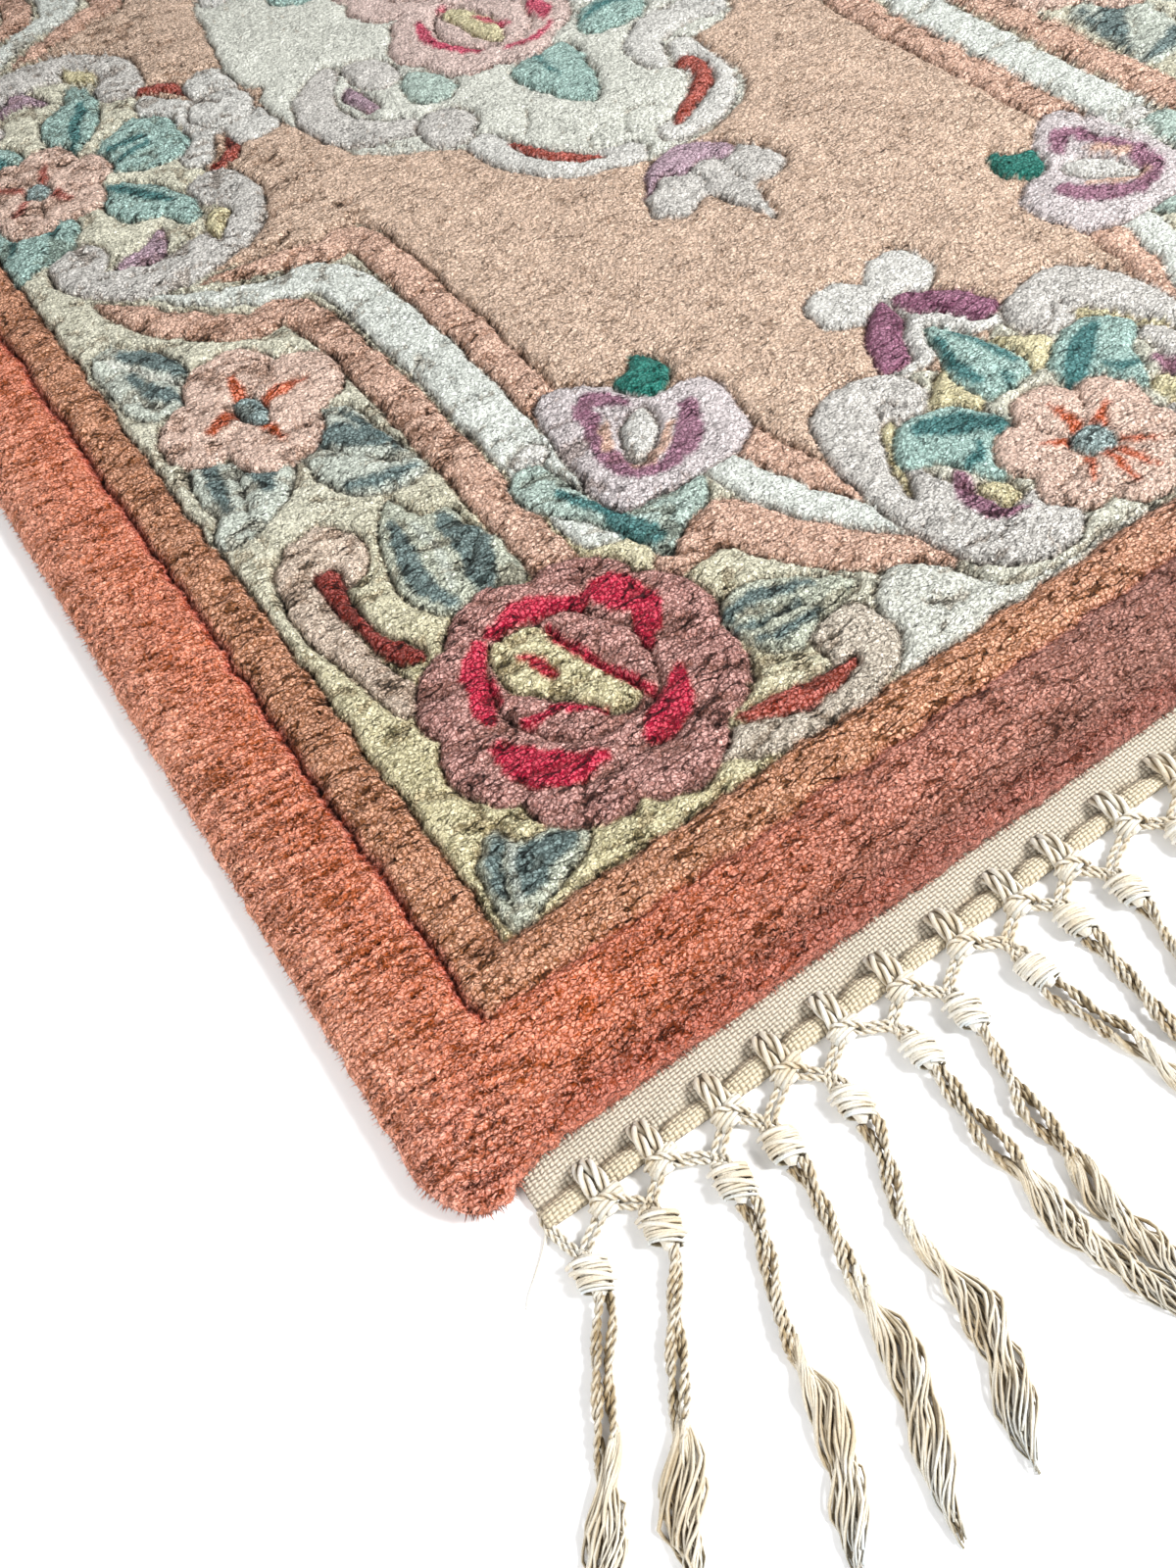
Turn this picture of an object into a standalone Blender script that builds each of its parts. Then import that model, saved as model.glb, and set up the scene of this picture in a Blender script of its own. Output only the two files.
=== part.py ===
# A hand-knotted wool rug with a carved floral pile, lying flat, with a knotted cotton fringe at
# each end.  Metres, +Z up, the middle of its underside at the origin, its length along Y.
import math
import bmesh
import bpy
from mathutils import Matrix, Vector

MM = 0.001

# Overall sizes.
UNIT = 25.4                     # the guard stripe, which the border and the field are multiples of
HALF_WIDTH = 16 * UNIT          # from the inner edge of the border to the middle of the rug
HALF_LENGTH = 28 * UNIT
BORDER = 2 * UNIT               # plain outer border
PILE_TOP = 16.0
CLOTH_THICK = 3.0
GAP = 0.3                       # between one piece and the next
END_SWELL = 3.0                 # the pile leans out this far past the last row of knots
CORNER_RADIUS = 17.0
CORNER_SEGMENTS = 4
RIM_WIDTH = 7.0
OVERLAP = 12.0                  # the quarter runs past both mirror planes by this much

# Carving.
CARVE_HALF_WIDTH = 3.2
BORDER_CARVE_HALF_WIDTH = 4.2

# Foundation cloth.
CLOTH_INSET = 8.0               # how far the cloth stays inside the pile's side
WEB_INSET = 28.0                # the woven ends are narrower than the pile
WEB_REACH = 82.0                # from the border's inner edge to the end of the web
HEM_WIDTH = 8.5
HEM_HEIGHT = 5.2

# Fringe.
STRIP_WIDTH = 3.0
STRIP_HEIGHT = 2.6
FIRST_PITCH = 29.03
FIRST_COUNT = 29
FIRST_REACH = 89.6              # first row of knots, from the border's inner edge
FIRST_HALF = 3.6                # half the length of a knot along its cord
SECOND_HALF = 7.0
STRIP_LIFT = 0.1
FIRST_LIFT = 0.25
LEG_LIFT = 0.45
EDGE_CORD = -21.0               # where the cord at the web's corner starts

# The measured shift of the first knots from an even pitch.
FIRST_SHIFT = (0.0, -4.0, -2.0, -3.0, -4.0, -4.0, -2.0, -1.0, -3.0, 1.0, 3.0)

# One row for each tassel that shows: the second-row knot, then how far its three lower stations
# stray sideways, and how far the tip lies below the knot.
TASSELS = (
    # knot_u, knot_v, stray_1, stray_2, stray_tip, drop
    (-19.0, -105.0, -16.0, -34.0, -58.0, 92.0),
    (11.0, -106.0, -18.0, -37.0, -62.0, 100.0),
    (42.0, -108.0, -12.0, -22.0, -45.0, 124.0),
    (65.0, -108.0, -6.0, -15.0, -35.0, 132.0),
    (96.0, -111.0, -13.0, -13.0, -33.0, 128.0),
    (130.0, -111.0, -4.0, -2.0, 8.0, 124.0),
    (154.0, -109.0, -8.0, -11.0, -5.0, 126.0),
    (187.0, -112.0, 6.0, 13.0, 17.0, 122.0),
    (214.0, -105.0, -2.0, -5.0, -3.0, 128.0),
    (240.0, -108.0, -8.0, -13.0, -17.0, 124.0),
)
CORD_SECTION = ((-5.0, 0.0), (5.0, 0.0), (3.2, 6.0), (-3.2, 6.0))
LEG_SECTION = ((-2.2, 0.0), (2.2, 0.0), (0.0, 3.6))
FIRST_SWELL = (0.7, 1.1, 1.1, 0.5, 0.5)
TASSEL_SWELL = (0.95, 1.15, 0.5, 0.8, 1.0, 0.95, 0.3)

# Closed outlines cut round the carved flowers and leaves of one quarter, in millimetres from the
# inner corner of the border.
FLOWERS = (
    # name, centre_u, centre_v, radius, lobes, lobe_depth, turn_deg
    ("rose", 126, 117, 76, 8, 0.10, 10),
    ("rose_heart", 125, 122, 40, 4, 0.06, 30),
    ("daisy", 90, 402, 52, 4, 0.16, 45),
    ("small_flower", 247, 242, 48, 6, 0.10, 0),
)
LEAVES = (
    # name, centre_u, centre_v, half_length, half_width, turn_deg
    ("corner_leaf", 56, 52, 30, 17, 45),
    ("right_leaf", 226, 93, 34, 18, 165),
    ("top_leaf", 116, 240, 44, 21, 100),
    ("daisy_leaf_low", 118, 326, 36, 17, 60),
    ("daisy_leaf_side", 56, 346, 34, 18, 100),
    ("daisy_leaf_high", 53, 472, 38, 18, 75),
    ("bud_leaf", 272, 276, 17, 12, 45),
    ("cluster_leaf_top", 410, 165, 34, 17, 90),
    ("cluster_leaf_left", 354, 120, 36, 18, 135),
    ("side_leaf_low", 50, 656, 40, 22, 40),
)
# Open cuts: the stripes of the inner frame, the scrolls and the middle medallion.
CUTS = (
    # name, points
    ("field_edge", ((229, 292), (229, 498), (150, 520), (112, 542))),
    ("stripe_inner", ((204, 290), (204, 470), (150, 497), (92, 546))),
    ("stripe_outer", ((171, 196), (171, 452), (122, 495), (62, 560))),
    ("stripe_edge", ((145, 200), (145, 440), (100, 480), (60, 540))),
    ("sweep_field", ((288, 212), (290, 190), (304, 145))),
    ("sweep_inner", ((270, 196), (262, 142), (302, 116))),
    ("sweep_outer", ((238, 190), (250, 136), (300, 92))),
    ("sweep_edge", ((206, 160), (240, 122), (300, 68))),
    ("hook", ((60, 176), (40, 200), (40, 276), (84, 290), (92, 250))),
    ("foot_hook", ((168, 34), (236, 32), (258, 60), (240, 84))),
    ("cluster_scroll", ((376, 196), (330, 196), (302, 168), (303, 90), (322, 46), (366, 40))),
    ("cluster_petals", ((452, 62), (420, 36), (392, 36), (362, 62), (366, 96), (398, 126))),
    ("fleur", ((430, 230), (384, 262), (364, 238), (386, 206), (404, 190))),
    ("side_scroll", ((196, 722), (243, 718), (240, 668), (204, 600), (170, 548), (120, 540))),
    ("side_petals", ((116, 722), (112, 690), (80, 672), (44, 690))),
    ("medallion", ((250, 722), (250, 600), (292, 556), (318, 510), (400, 440), (420, 440))),
    ("medallion_rose", ((350, 722), (346, 660), (372, 606), (420, 600))),
    ("lotus", ((420, 332), (396, 348), (360, 392), (368, 420), (420, 434))),
)


def at(u, v):
    """A point of the plan, from the border's inner corner to the rug's own frame."""
    return (u - HALF_WIDTH) * MM, (v - HALF_LENGTH) * MM


def clear_scene():
    for thing in list(bpy.data.objects):
        bpy.data.objects.remove(thing, do_unlink=True)


def make_collection(name):
    made = bpy.data.collections.new(name)
    bpy.context.scene.collection.children.link(made)
    return made


def make_material(name, colour, roughness):
    made = bpy.data.materials.new(name)
    made.use_nodes = True
    shader = made.node_tree.nodes["Principled BSDF"]
    shader.inputs["Base Color"].default_value = (*colour, 1.0)
    shader.inputs["Roughness"].default_value = roughness
    shader.inputs["Metallic"].default_value = 0.0
    made.diffuse_color = (*colour, 1.0)
    return made


def object_from(name, bm, collection):
    mesh = bpy.data.meshes.new(name)
    bm.to_mesh(mesh)
    bm.free()
    made = bpy.data.objects.new(name, mesh)
    collection.objects.link(made)
    return made


def bake_modifiers(thing):
    """Puts the evaluated mesh in place of the modifiers."""
    bpy.context.view_layer.update()
    evaluated = thing.evaluated_get(bpy.context.evaluated_depsgraph_get())
    mesh = bpy.data.meshes.new_from_object(evaluated)
    thing.modifiers.clear()
    thing.data = mesh


def split_slopes(thing):
    """Triangulates all but the level and upright faces, so that no sloping face is warped."""
    bm = bmesh.new()
    bm.from_mesh(thing.data)
    slopes = [f for f in bm.faces if len(f.verts) > 3 and max(map(abs, f.normal)) < 0.999999]
    bmesh.ops.triangulate(bm, faces=slopes)
    bm.to_mesh(thing.data)
    bm.free()


def boolean(thing, cutter, operation, use_self=False):
    split_slopes(thing)
    split_slopes(cutter)
    step = thing.modifiers.new(operation.lower(), "BOOLEAN")
    step.operation = operation
    step.solver = "EXACT"
    step.use_self = use_self
    step.object = cutter
    bake_modifiers(thing)


def hide_guide(thing):
    thing.hide_render = True
    thing.display_type = "WIRE"


def cord(name, points, section, swell, closed, collection, guides):
    """A strand or a cutter: a flat section carried along a path that keeps it upright."""
    profile_data = bpy.data.curves.new(name + "_section", "CURVE")
    profile_data.dimensions = "2D"
    ring = profile_data.splines.new("POLY")
    ring.points.add(len(section) - 1)
    for spot, (across, up) in zip(ring.points, section):
        spot.co = (across * MM, up * MM, 0.0, 1.0)
    ring.use_cyclic_u = True
    profile = bpy.data.objects.new(name + "_section", profile_data)
    guides.objects.link(profile)
    hide_guide(profile)

    path = bpy.data.curves.new(name, "CURVE")
    path.dimensions = "3D"
    path.twist_mode = "Z_UP"
    line = path.splines.new("POLY")
    line.points.add(len(points) - 1)
    for spot, place, size in zip(line.points, points, swell):
        spot.co = (*place, 1.0)
        spot.radius = size
    line.use_cyclic_u = closed
    path.bevel_mode = "OBJECT"
    path.bevel_object = profile
    path.use_fill_caps = not closed
    carrier = bpy.data.objects.new(name, path)
    collection.objects.link(carrier)
    bpy.context.view_layer.update()

    evaluated = carrier.evaluated_get(bpy.context.evaluated_depsgraph_get())
    mesh = bpy.data.meshes.new_from_object(evaluated)
    bm = bmesh.new()
    bm.from_mesh(mesh)
    bm.transform(carrier.matrix_world)
    bmesh.ops.remove_doubles(bm, verts=bm.verts, dist=0.00001)
    bmesh.ops.recalc_face_normals(bm, faces=bm.faces)
    bpy.data.objects.remove(carrier, do_unlink=True)
    return object_from(name, bm, collection)


def joined(name, things, collection):
    """One mesh out of several objects, before a union makes it one body."""
    bm = bmesh.new()
    for thing in things:
        bm.from_mesh(thing.data)
        bpy.data.objects.remove(thing, do_unlink=True)
    return object_from(name, bm, collection)


# The pile: a slab carved from above.
def pile_quarter(collection):
    """The near left quarter of the slab, with a round corner and a round upper rim."""
    left = -(HALF_WIDTH + BORDER) * MM
    near = -(HALF_LENGTH + BORDER + END_SWELL) * MM
    low = (CLOTH_THICK + GAP) * MM
    high = PILE_TOP * MM
    past = OVERLAP * MM
    bm = bmesh.new()
    bmesh.ops.create_cube(bm, size=1.0)
    size = Matrix.Diagonal((past - left, past - near, high - low, 1.0))
    place = Matrix.Translation(((left + past) / 2, (near + past) / 2, (low + high) / 2))
    bm.transform(place @ size)
    upright = [
        edge for edge in bm.edges
        if all(abs(v.co.x - left) < MM and abs(v.co.y - near) < MM for v in edge.verts)
    ]
    bmesh.ops.bevel(
        bm, geom=upright, offset=CORNER_RADIUS * MM, segments=CORNER_SEGMENTS,
        profile=0.5, affect="EDGES",
    )
    rim = [
        edge for edge in bm.edges
        if all(abs(v.co.z - high) < MM / 10 for v in edge.verts)
        and not all(v.co.x > past - MM for v in edge.verts)
        and not all(v.co.y > past - MM for v in edge.verts)
    ]
    bmesh.ops.bevel(
        bm, geom=rim, offset=RIM_WIDTH * MM, segments=2, profile=0.5, affect="EDGES",
    )
    return object_from("pile", bm, collection)


def flower_outline(centre_u, centre_v, radius, lobes, depth, turn_deg):
    steps = lobes * 2
    for step in range(steps):
        angle = math.radians(turn_deg) + math.tau * step / steps
        reach = radius * (1 - depth if step % 2 else 1 + depth / 2)
        yield centre_u + reach * math.cos(angle), centre_v + reach * math.sin(angle)


def leaf_outline(centre_u, centre_v, half_length, half_width, turn_deg):
    turn = math.radians(turn_deg)
    for along, across in ((1, 0), (0.05, 1), (-0.9, 0.45), (-0.9, -0.45), (0.05, -1)):
        u, v = along * half_length, across * half_width
        yield (
            centre_u + u * math.cos(turn) - v * math.sin(turn),
            centre_v + u * math.sin(turn) + v * math.cos(turn),
        )


def carve(pile, name, outline, half_width, closed, guides):
    """Shears a V-shaped channel along an outline in the top of the pile."""
    points = [(*at(u, v), PILE_TOP * MM) for u, v in outline]
    section = (
        (-half_width, 0.0), (0.0, -half_width), (half_width, 0.0), (0.0, half_width),
    )
    cutter = cord(name, points, section, [1.0] * len(points), closed, guides, guides)
    boolean(pile, cutter, "DIFFERENCE")
    hide_guide(cutter)


def build_pile(collection, guides):
    pile = pile_quarter(collection)
    past = HALF_WIDTH + 2 * OVERLAP
    beyond = HALF_LENGTH + 2 * OVERLAP
    for name, line in (("border_cut", 0.0), ("stripe_cut", 1.06 * UNIT)):
        corner = ((past, line), (line, line), (line, beyond))
        carve(pile, name, corner, BORDER_CARVE_HALF_WIDTH, False, guides)
    for name, *shape in FLOWERS:
        carve(pile, name, list(flower_outline(*shape)), CARVE_HALF_WIDTH, True, guides)
    for name, *shape in LEAVES:
        carve(pile, name, list(leaf_outline(*shape)), CARVE_HALF_WIDTH, True, guides)
    for name, points in CUTS:
        carve(pile, name, points, CARVE_HALF_WIDTH, False, guides)
    mirror = pile.modifiers.new("quarters", "MIRROR")
    mirror.use_axis = (True, True, False)
    mirror.use_bisect_axis = (True, True, False)
    mirror.use_bisect_flip_axis = (True, True, False)
    mirror.use_clip = True
    mirror.merge_threshold = 0.00005
    bake_modifiers(pile)
    bm = bmesh.new()
    bm.from_mesh(pile.data)
    bmesh.ops.dissolve_limit(
        bm, angle_limit=math.radians(0.2), use_dissolve_boundaries=False,
        verts=bm.verts, edges=bm.edges, delimit=set(),
    )
    bm.to_mesh(pile.data)
    bm.free()
    return pile


# The foundation: one cloth with a hem at each end.
def build_foundation(collection):
    """One cotton cloth under the pile, with a woven web and a rolled hem at each end."""
    side = HALF_WIDTH + BORDER - CLOTH_INSET
    web = HALF_WIDTH + BORDER - WEB_INSET
    under = HALF_LENGTH + BORDER - CLOTH_INSET
    end = HALF_LENGTH + WEB_REACH
    across = (-side, -web, web, side)
    hem = (end - HEM_WIDTH, end - 0.72 * HEM_WIDTH, end - 0.28 * HEM_WIDTH, end)
    along = [-y for y in reversed(hem)] + [-under, under] + list(hem)
    bm = bmesh.new()
    bmesh.ops.create_grid(bm, x_segments=len(across) - 1, y_segments=len(along) - 1, size=1.0)
    for vert in bm.verts:
        column = round((vert.co.x + 1) / 2 * (len(across) - 1))
        row = round((vert.co.y + 1) / 2 * (len(along) - 1))
        vert.co = Vector((across[column] * MM, along[row] * MM, 0.0))
    corners = [
        face for face in bm.faces
        if abs(face.calc_center_median().x) > web * MM and abs(face.calc_center_median().y) > under * MM
    ]
    bmesh.ops.delete(bm, geom=corners, context="FACES")
    raised = bmesh.ops.extrude_face_region(bm, geom=list(bm.faces))
    hem_top = (end - 0.9 * HEM_WIDTH) * MM
    hem_end = (end - 0.1 * HEM_WIDTH) * MM
    for item in raised["geom"]:
        if isinstance(item, bmesh.types.BMVert):
            on_hem = hem_top < abs(item.co.y) < hem_end
            item.co.z = (HEM_HEIGHT if on_hem else CLOTH_THICK) * MM
    bmesh.ops.recalc_face_normals(bm, faces=bm.faces)
    return object_from("foundation", bm, collection)


# The fringe: a strip, two rows of knots, a net between them and tassels.
def first_knots():
    """Where the first row of knots hangs, across the web."""
    for count in range(FIRST_COUNT):
        shift = FIRST_SHIFT[count] if count < len(FIRST_SHIFT) else 2.5 * math.sin(2.1 * count)
        if count == FIRST_COUNT - 1:
            shift = 0.0
        yield FIRST_PITCH * count + shift


def tassel_rows(first):
    """The measured tassels, then the rest in the same manner, one more than the first knots."""
    edges = [EDGE_CORD] + list(first) + [2 * HALF_WIDTH - EDGE_CORD]
    for count in range(len(first) + 1):
        if count < len(TASSELS):
            yield TASSELS[count]
            continue
        middle = (edges[count] + edges[count + 1]) / 2
        lean = math.sin(1.7 * count)
        curl = math.sin(2.9 * count + 1.0)
        if count == len(first):
            middle, lean, curl = 2 * HALF_WIDTH + 17.0, 2.2, 0.5
        yield (
            middle + 2.0 * curl, -108.0 - 3.0 * lean,
            5.0 * lean + 3.0 * curl, 13.0 * lean - 2.0 * curl, 19.0 * lean, 126.0 - 5.0 * abs(lean),
        )


def first_knot(name, u, row, collection, guides):
    """A knot of the first row with the side of the net that runs right, to the second row."""
    top = -(WEB_REACH + GAP + STRIP_WIDTH / 2)
    path = [(u, top), (u, -FIRST_REACH + FIRST_HALF), (u, -FIRST_REACH - FIRST_HALF)]
    path += [(u + 2.0, -FIRST_REACH - FIRST_HALF - 2.0), (row[0] - 1.6, row[1] + 2.0)]
    points = [(*at(*place), FIRST_LIFT * MM) for place in path]
    return cord(name, points, CORD_SECTION, FIRST_SWELL, False, collection, guides)


def left_leg(name, start, row, collection, guides):
    """The side of the net that runs left, from a first knot to the second row."""
    points = [(*at(*start), LEG_LIFT * MM), (*at(row[0] + 1.6, row[1] + 2.0), LEG_LIFT * MM)]
    return cord(name, points, LEG_SECTION, (1.0, 1.0), False, collection, guides)


def tassel(name, row, collection, guides):
    """A knot of the second row, and the lock of loose yarn lying level on the floor below it."""
    knot_u, knot_v, stray_1, stray_2, stray_tip, drop = row
    late = 0.5 * (stray_2 + stray_tip)
    stations = ((0.10, 0.0), (0.32, stray_1), (0.62, stray_2), (0.84, late), (1.0, stray_tip))
    path = [(knot_u, knot_v + SECOND_HALF), (knot_u, knot_v - 0.6 * SECOND_HALF)]
    path += [(knot_u + stray, knot_v - drop * share) for share, stray in stations]
    points = [(*at(*place), 0.0) for place in path]
    return cord(name, points, CORD_SECTION, TASSEL_SWELL, False, collection, guides)


def build_fringe(collection, guides):
    """The near fringe: a strip along the web's end, two rows of knots, a net and tassels."""
    web = (HALF_WIDTH + BORDER - WEB_INSET) * MM
    strip_near = -(HALF_LENGTH + WEB_REACH + GAP + STRIP_WIDTH) * MM
    bm = bmesh.new()
    bmesh.ops.create_cube(bm, size=1.0)
    size = Matrix.Diagonal((2 * web, STRIP_WIDTH * MM, STRIP_HEIGHT * MM, 1.0))
    middle = (0.0, strip_near + STRIP_WIDTH * MM / 2, (STRIP_HEIGHT / 2 + STRIP_LIFT) * MM)
    bm.transform(Matrix.Translation(middle) @ size)
    strip = object_from("fringe_front", bm, collection)

    first = list(first_knots())
    rows = list(tassel_rows(first))
    parts = []
    for count, u in enumerate(first):
        parts.append(first_knot(f"first_{count}", u, rows[count + 1], guides, guides))
        start = (u - 1.0, -FIRST_REACH)
        parts.append(left_leg(f"leg_{count}", start, rows[count], guides, guides))
    for side, u in ((0, EDGE_CORD), (-1, 2 * HALF_WIDTH - EDGE_CORD)):
        start = (u, -(WEB_REACH + GAP + STRIP_WIDTH / 2))
        parts.append(left_leg(f"corner_leg_{side}", start, rows[side], guides, guides))
    for count, row in enumerate(rows):
        parts.append(tassel(f"tassel_{count}", row, guides, guides))
    net = joined("fringe_net", parts, guides)
    boolean(strip, net, "UNION", use_self=True)
    hide_guide(net)
    return strip


def turned_copy(source, name, collection):
    """The far fringe is the near one turned half round."""
    bm = bmesh.new()
    bm.from_mesh(source.data)
    bm.transform(Matrix.Rotation(math.pi, 4, "Z"))
    return object_from(name, bm, collection)


def main():
    clear_scene()
    parts = make_collection("chinese_rug")
    guides = make_collection("guides")
    wool = make_material("wool_pile", (0.66, 0.30, 0.22), 0.95)
    cotton = make_material("cotton_foundation", (0.66, 0.60, 0.50), 0.92)
    twine = make_material("cotton_fringe", (0.72, 0.66, 0.56), 0.9)
    pile = build_pile(parts, guides)
    foundation = build_foundation(parts)
    front = build_fringe(parts, guides)
    back = turned_copy(front, "fringe_back", parts)
    for thing, material in ((pile, wool), (foundation, cotton), (front, twine), (back, twine.copy())):
        thing.data.materials.clear()
        thing.data.materials.append(material)
    back.data.materials[0].name = "cotton_fringe_back"


main()
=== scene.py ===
# %% [markdown]
# # A carved wool rug with a knotted cotton fringe
#
# The rug is built the way a real one is: a cotton cloth carries an upright wool pile, the pile is
# sheared and carved along the drawing, and the warp ends are knotted into a net with tassels.
# The solids from the CAD step give the true sizes; every visible surface here replaces one.

# %% Load the frame
import math

import bmesh
import bpy
import numpy as np
from mathutils import Matrix, Vector


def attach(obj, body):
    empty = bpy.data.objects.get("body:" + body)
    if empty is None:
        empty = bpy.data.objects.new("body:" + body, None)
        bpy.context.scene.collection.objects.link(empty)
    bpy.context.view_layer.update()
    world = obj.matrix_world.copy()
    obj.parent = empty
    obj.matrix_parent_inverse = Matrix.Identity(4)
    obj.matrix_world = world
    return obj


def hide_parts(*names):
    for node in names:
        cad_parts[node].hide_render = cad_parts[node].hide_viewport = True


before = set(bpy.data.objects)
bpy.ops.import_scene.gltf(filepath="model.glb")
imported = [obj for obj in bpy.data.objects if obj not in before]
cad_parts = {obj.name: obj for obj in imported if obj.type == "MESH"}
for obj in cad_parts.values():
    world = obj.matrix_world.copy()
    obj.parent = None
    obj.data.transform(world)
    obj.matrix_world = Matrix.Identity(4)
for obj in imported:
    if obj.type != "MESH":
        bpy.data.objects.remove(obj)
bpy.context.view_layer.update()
MM = 0.001

# driving sizes, in millimetres
UNIT = 25.4  # one width of the brown stripe
HALF_U, HALF_V = 16 * UNIT, 28 * UNIT  # the drawing inside the plain border, to its middle
BORDER = 2 * UNIT
STRIPE = 27.0  # the brown stripe with its carved edge
END_SWELL = 3.0  # how far the pile leans out past each end
CORNER = 17.0  # radius of the pile's corners
TOP = 16.0
KNOT_PITCH = 29.03  # from one first knot of the fringe to the next

# %% [markdown]
# ## Measuring in the plan
#
# The drawing is laid out in millimetres from the inner corner of the plain border: u runs across
# the rug and v along it. One quarter is drawn, and the other three are its mirror images, as a
# weaver repeats a cartoon. Small value noise stands for what the hand does between the lines.


# %% Plan coordinates and noise
def frame_xy(u, v):
    """Plan millimetres as the frame's metres, whose origin is the rug's middle."""
    return (u - HALF_U) * MM, (v - HALF_V) * MM


def hashed(ix, iy, seed):
    """A steady random number from 0 to 1 for whole numbers ix and iy."""
    n = (ix * 374761393 + iy * 668265263 + seed * 1442695041) & 0xFFFFFFFF
    n = ((n ^ (n >> 13)) * 1274126177) & 0xFFFFFFFF
    return ((n ^ (n >> 16)) & 0xFFFF) / 65535.0


def noise(u, v, size, seed):
    """Smooth value noise from -1 to 1 with features about size wide; size may be a pair."""
    size_u, size_v = size if isinstance(size, tuple) else (size, size)
    a, b = np.asarray(u) / size_u + 512.0, np.asarray(v) / size_v + 512.0
    ia, ib = np.floor(a).astype(np.int64), np.floor(b).astype(np.int64)
    fa, fb = a - ia, b - ib
    fa, fb = fa * fa * (3 - 2 * fa), fb * fb * (3 - 2 * fb)
    low = hashed(ia, ib, seed) * (1 - fa) + hashed(ia + 1, ib, seed) * fa
    high = hashed(ia, ib + 1, seed) * (1 - fa) + hashed(ia + 1, ib + 1, seed) * fa
    return 2 * (low * (1 - fb) + high * fb) - 1


def step(low, high, x):
    """A soft step from 0 at low to 1 at high."""
    t = np.clip((x - low) / (high - low), 0, 1)
    return t * t * (3 - 2 * t)


def rgb(r, g, b):
    """A colour given from 0 to 255, as scene-linear values."""
    c = np.array((r, g, b), float) / 255.0
    return np.where(c <= 0.04045, c / 12.92, ((c + 0.055) / 1.055) ** 2.4)


def mixed(low, high, share):
    """Rows of colours: low where share is 0 and high where it is 1."""
    share = share[:, None]
    return low * (1 - share) + high * share


# %% [markdown]
# ## Distances to drawn shapes
#
# Bands and patches are given by a few stations, smoothed through a spline. For each point of the
# pile the signed distance to a shape says whether the yarn there is dyed for it, and how far the
# carved channel round the shape is.


# %% Shape distances
FAR_OFF = 99.0  # stands for any distance too long to matter
CARVED_REACH = 14  # past this an outline no longer shapes the pile


def smooth_line(stations, closed, fine=5):
    """A spline through the stations, with fine steps from each to the next."""
    pts = np.array(stations, float)
    count = len(pts)
    out = []
    for i in range(count if closed else count - 1):
        if closed:
            a, b, c, d = [pts[(i + k) % count] for k in (-1, 0, 1, 2)]
        else:
            a, b, c, d = [pts[min(max(i + k, 0), count - 1)] for k in (-1, 0, 1, 2)]
        for t in np.arange(fine) / fine:
            out.append(0.5 * (2 * b + (c - a) * t + (2 * a - 5 * b + 4 * c - d) * t * t
                              + (3 * b - a - 3 * c + d) * t ** 3))
    if not closed:
        out.append(pts[-1])
    return np.array(out)


def near_to(u, v, line, pad):
    """Which points lie within pad of a line's box."""
    low, high = line[:, :2].min(0) - pad, line[:, :2].max(0) + pad
    return np.nonzero((u > low[0]) & (u < high[0]) & (v > low[1]) & (v < high[1]))[0]


def to_segment(u, v, a, b):
    """The distance of each point to a segment, and the share along it where it is nearest."""
    du, dv = b[0] - a[0], b[1] - a[1]
    t = np.clip(((u - a[0]) * du + (v - a[1]) * dv) / max(du ** 2 + dv ** 2, 1e-9), 0, 1)
    return np.hypot(u - a[0] - du * t, v - a[1] - dv * t), t


def band_distance(u, v, stations):
    """Distance to a band whose half width runs through the stations; below 0 inside."""
    line = smooth_line(stations, False)
    out = np.full(u.shape, FAR_OFF)
    pick = near_to(u, v, line, line[:, 2].max() + CARVED_REACH)
    best = np.full(pick.shape, FAR_OFF)
    for a, b in zip(line[:-1], line[1:]):
        gap, t = to_segment(u[pick], v[pick], a, b)
        best = np.minimum(best, gap - (a[2] + (b[2] - a[2]) * t))
    out[pick] = best
    return out


def patch_distance(u, v, stations):
    """Distance to a closed outline; below 0 inside."""
    line = smooth_line(stations, True, 4)
    out = np.full(u.shape, FAR_OFF)
    pick = near_to(u, v, line, CARVED_REACH)
    pu, pv = u[pick], v[pick]
    best, inside = np.full(pu.shape, FAR_OFF), np.zeros(pu.shape, bool)
    for a, b in zip(line, np.roll(line, -1, 0)):
        best = np.minimum(best, to_segment(pu, pv, a, b)[0])
        du, dv = b - a
        crosses = (a[1] > pv) != (b[1] > pv)
        inside ^= crosses & (pu < a[0] + (pv - a[1]) * du / (dv if dv else 1e-9))
    out[pick] = np.where(inside, -best, best)
    return out


def flower_distance(u, v, cu, cv, radius, lobes, depth, turn_deg):
    """Distance to a lobed disc round (cu, cv); below 0 inside."""
    angle = np.arctan2(v - cv, u - cu) - math.radians(turn_deg)
    petal = 1 - np.abs(np.cos(lobes * angle / 2))
    return np.hypot(u - cu, v - cv) - radius * (1 - depth * petal ** 1.4)
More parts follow.
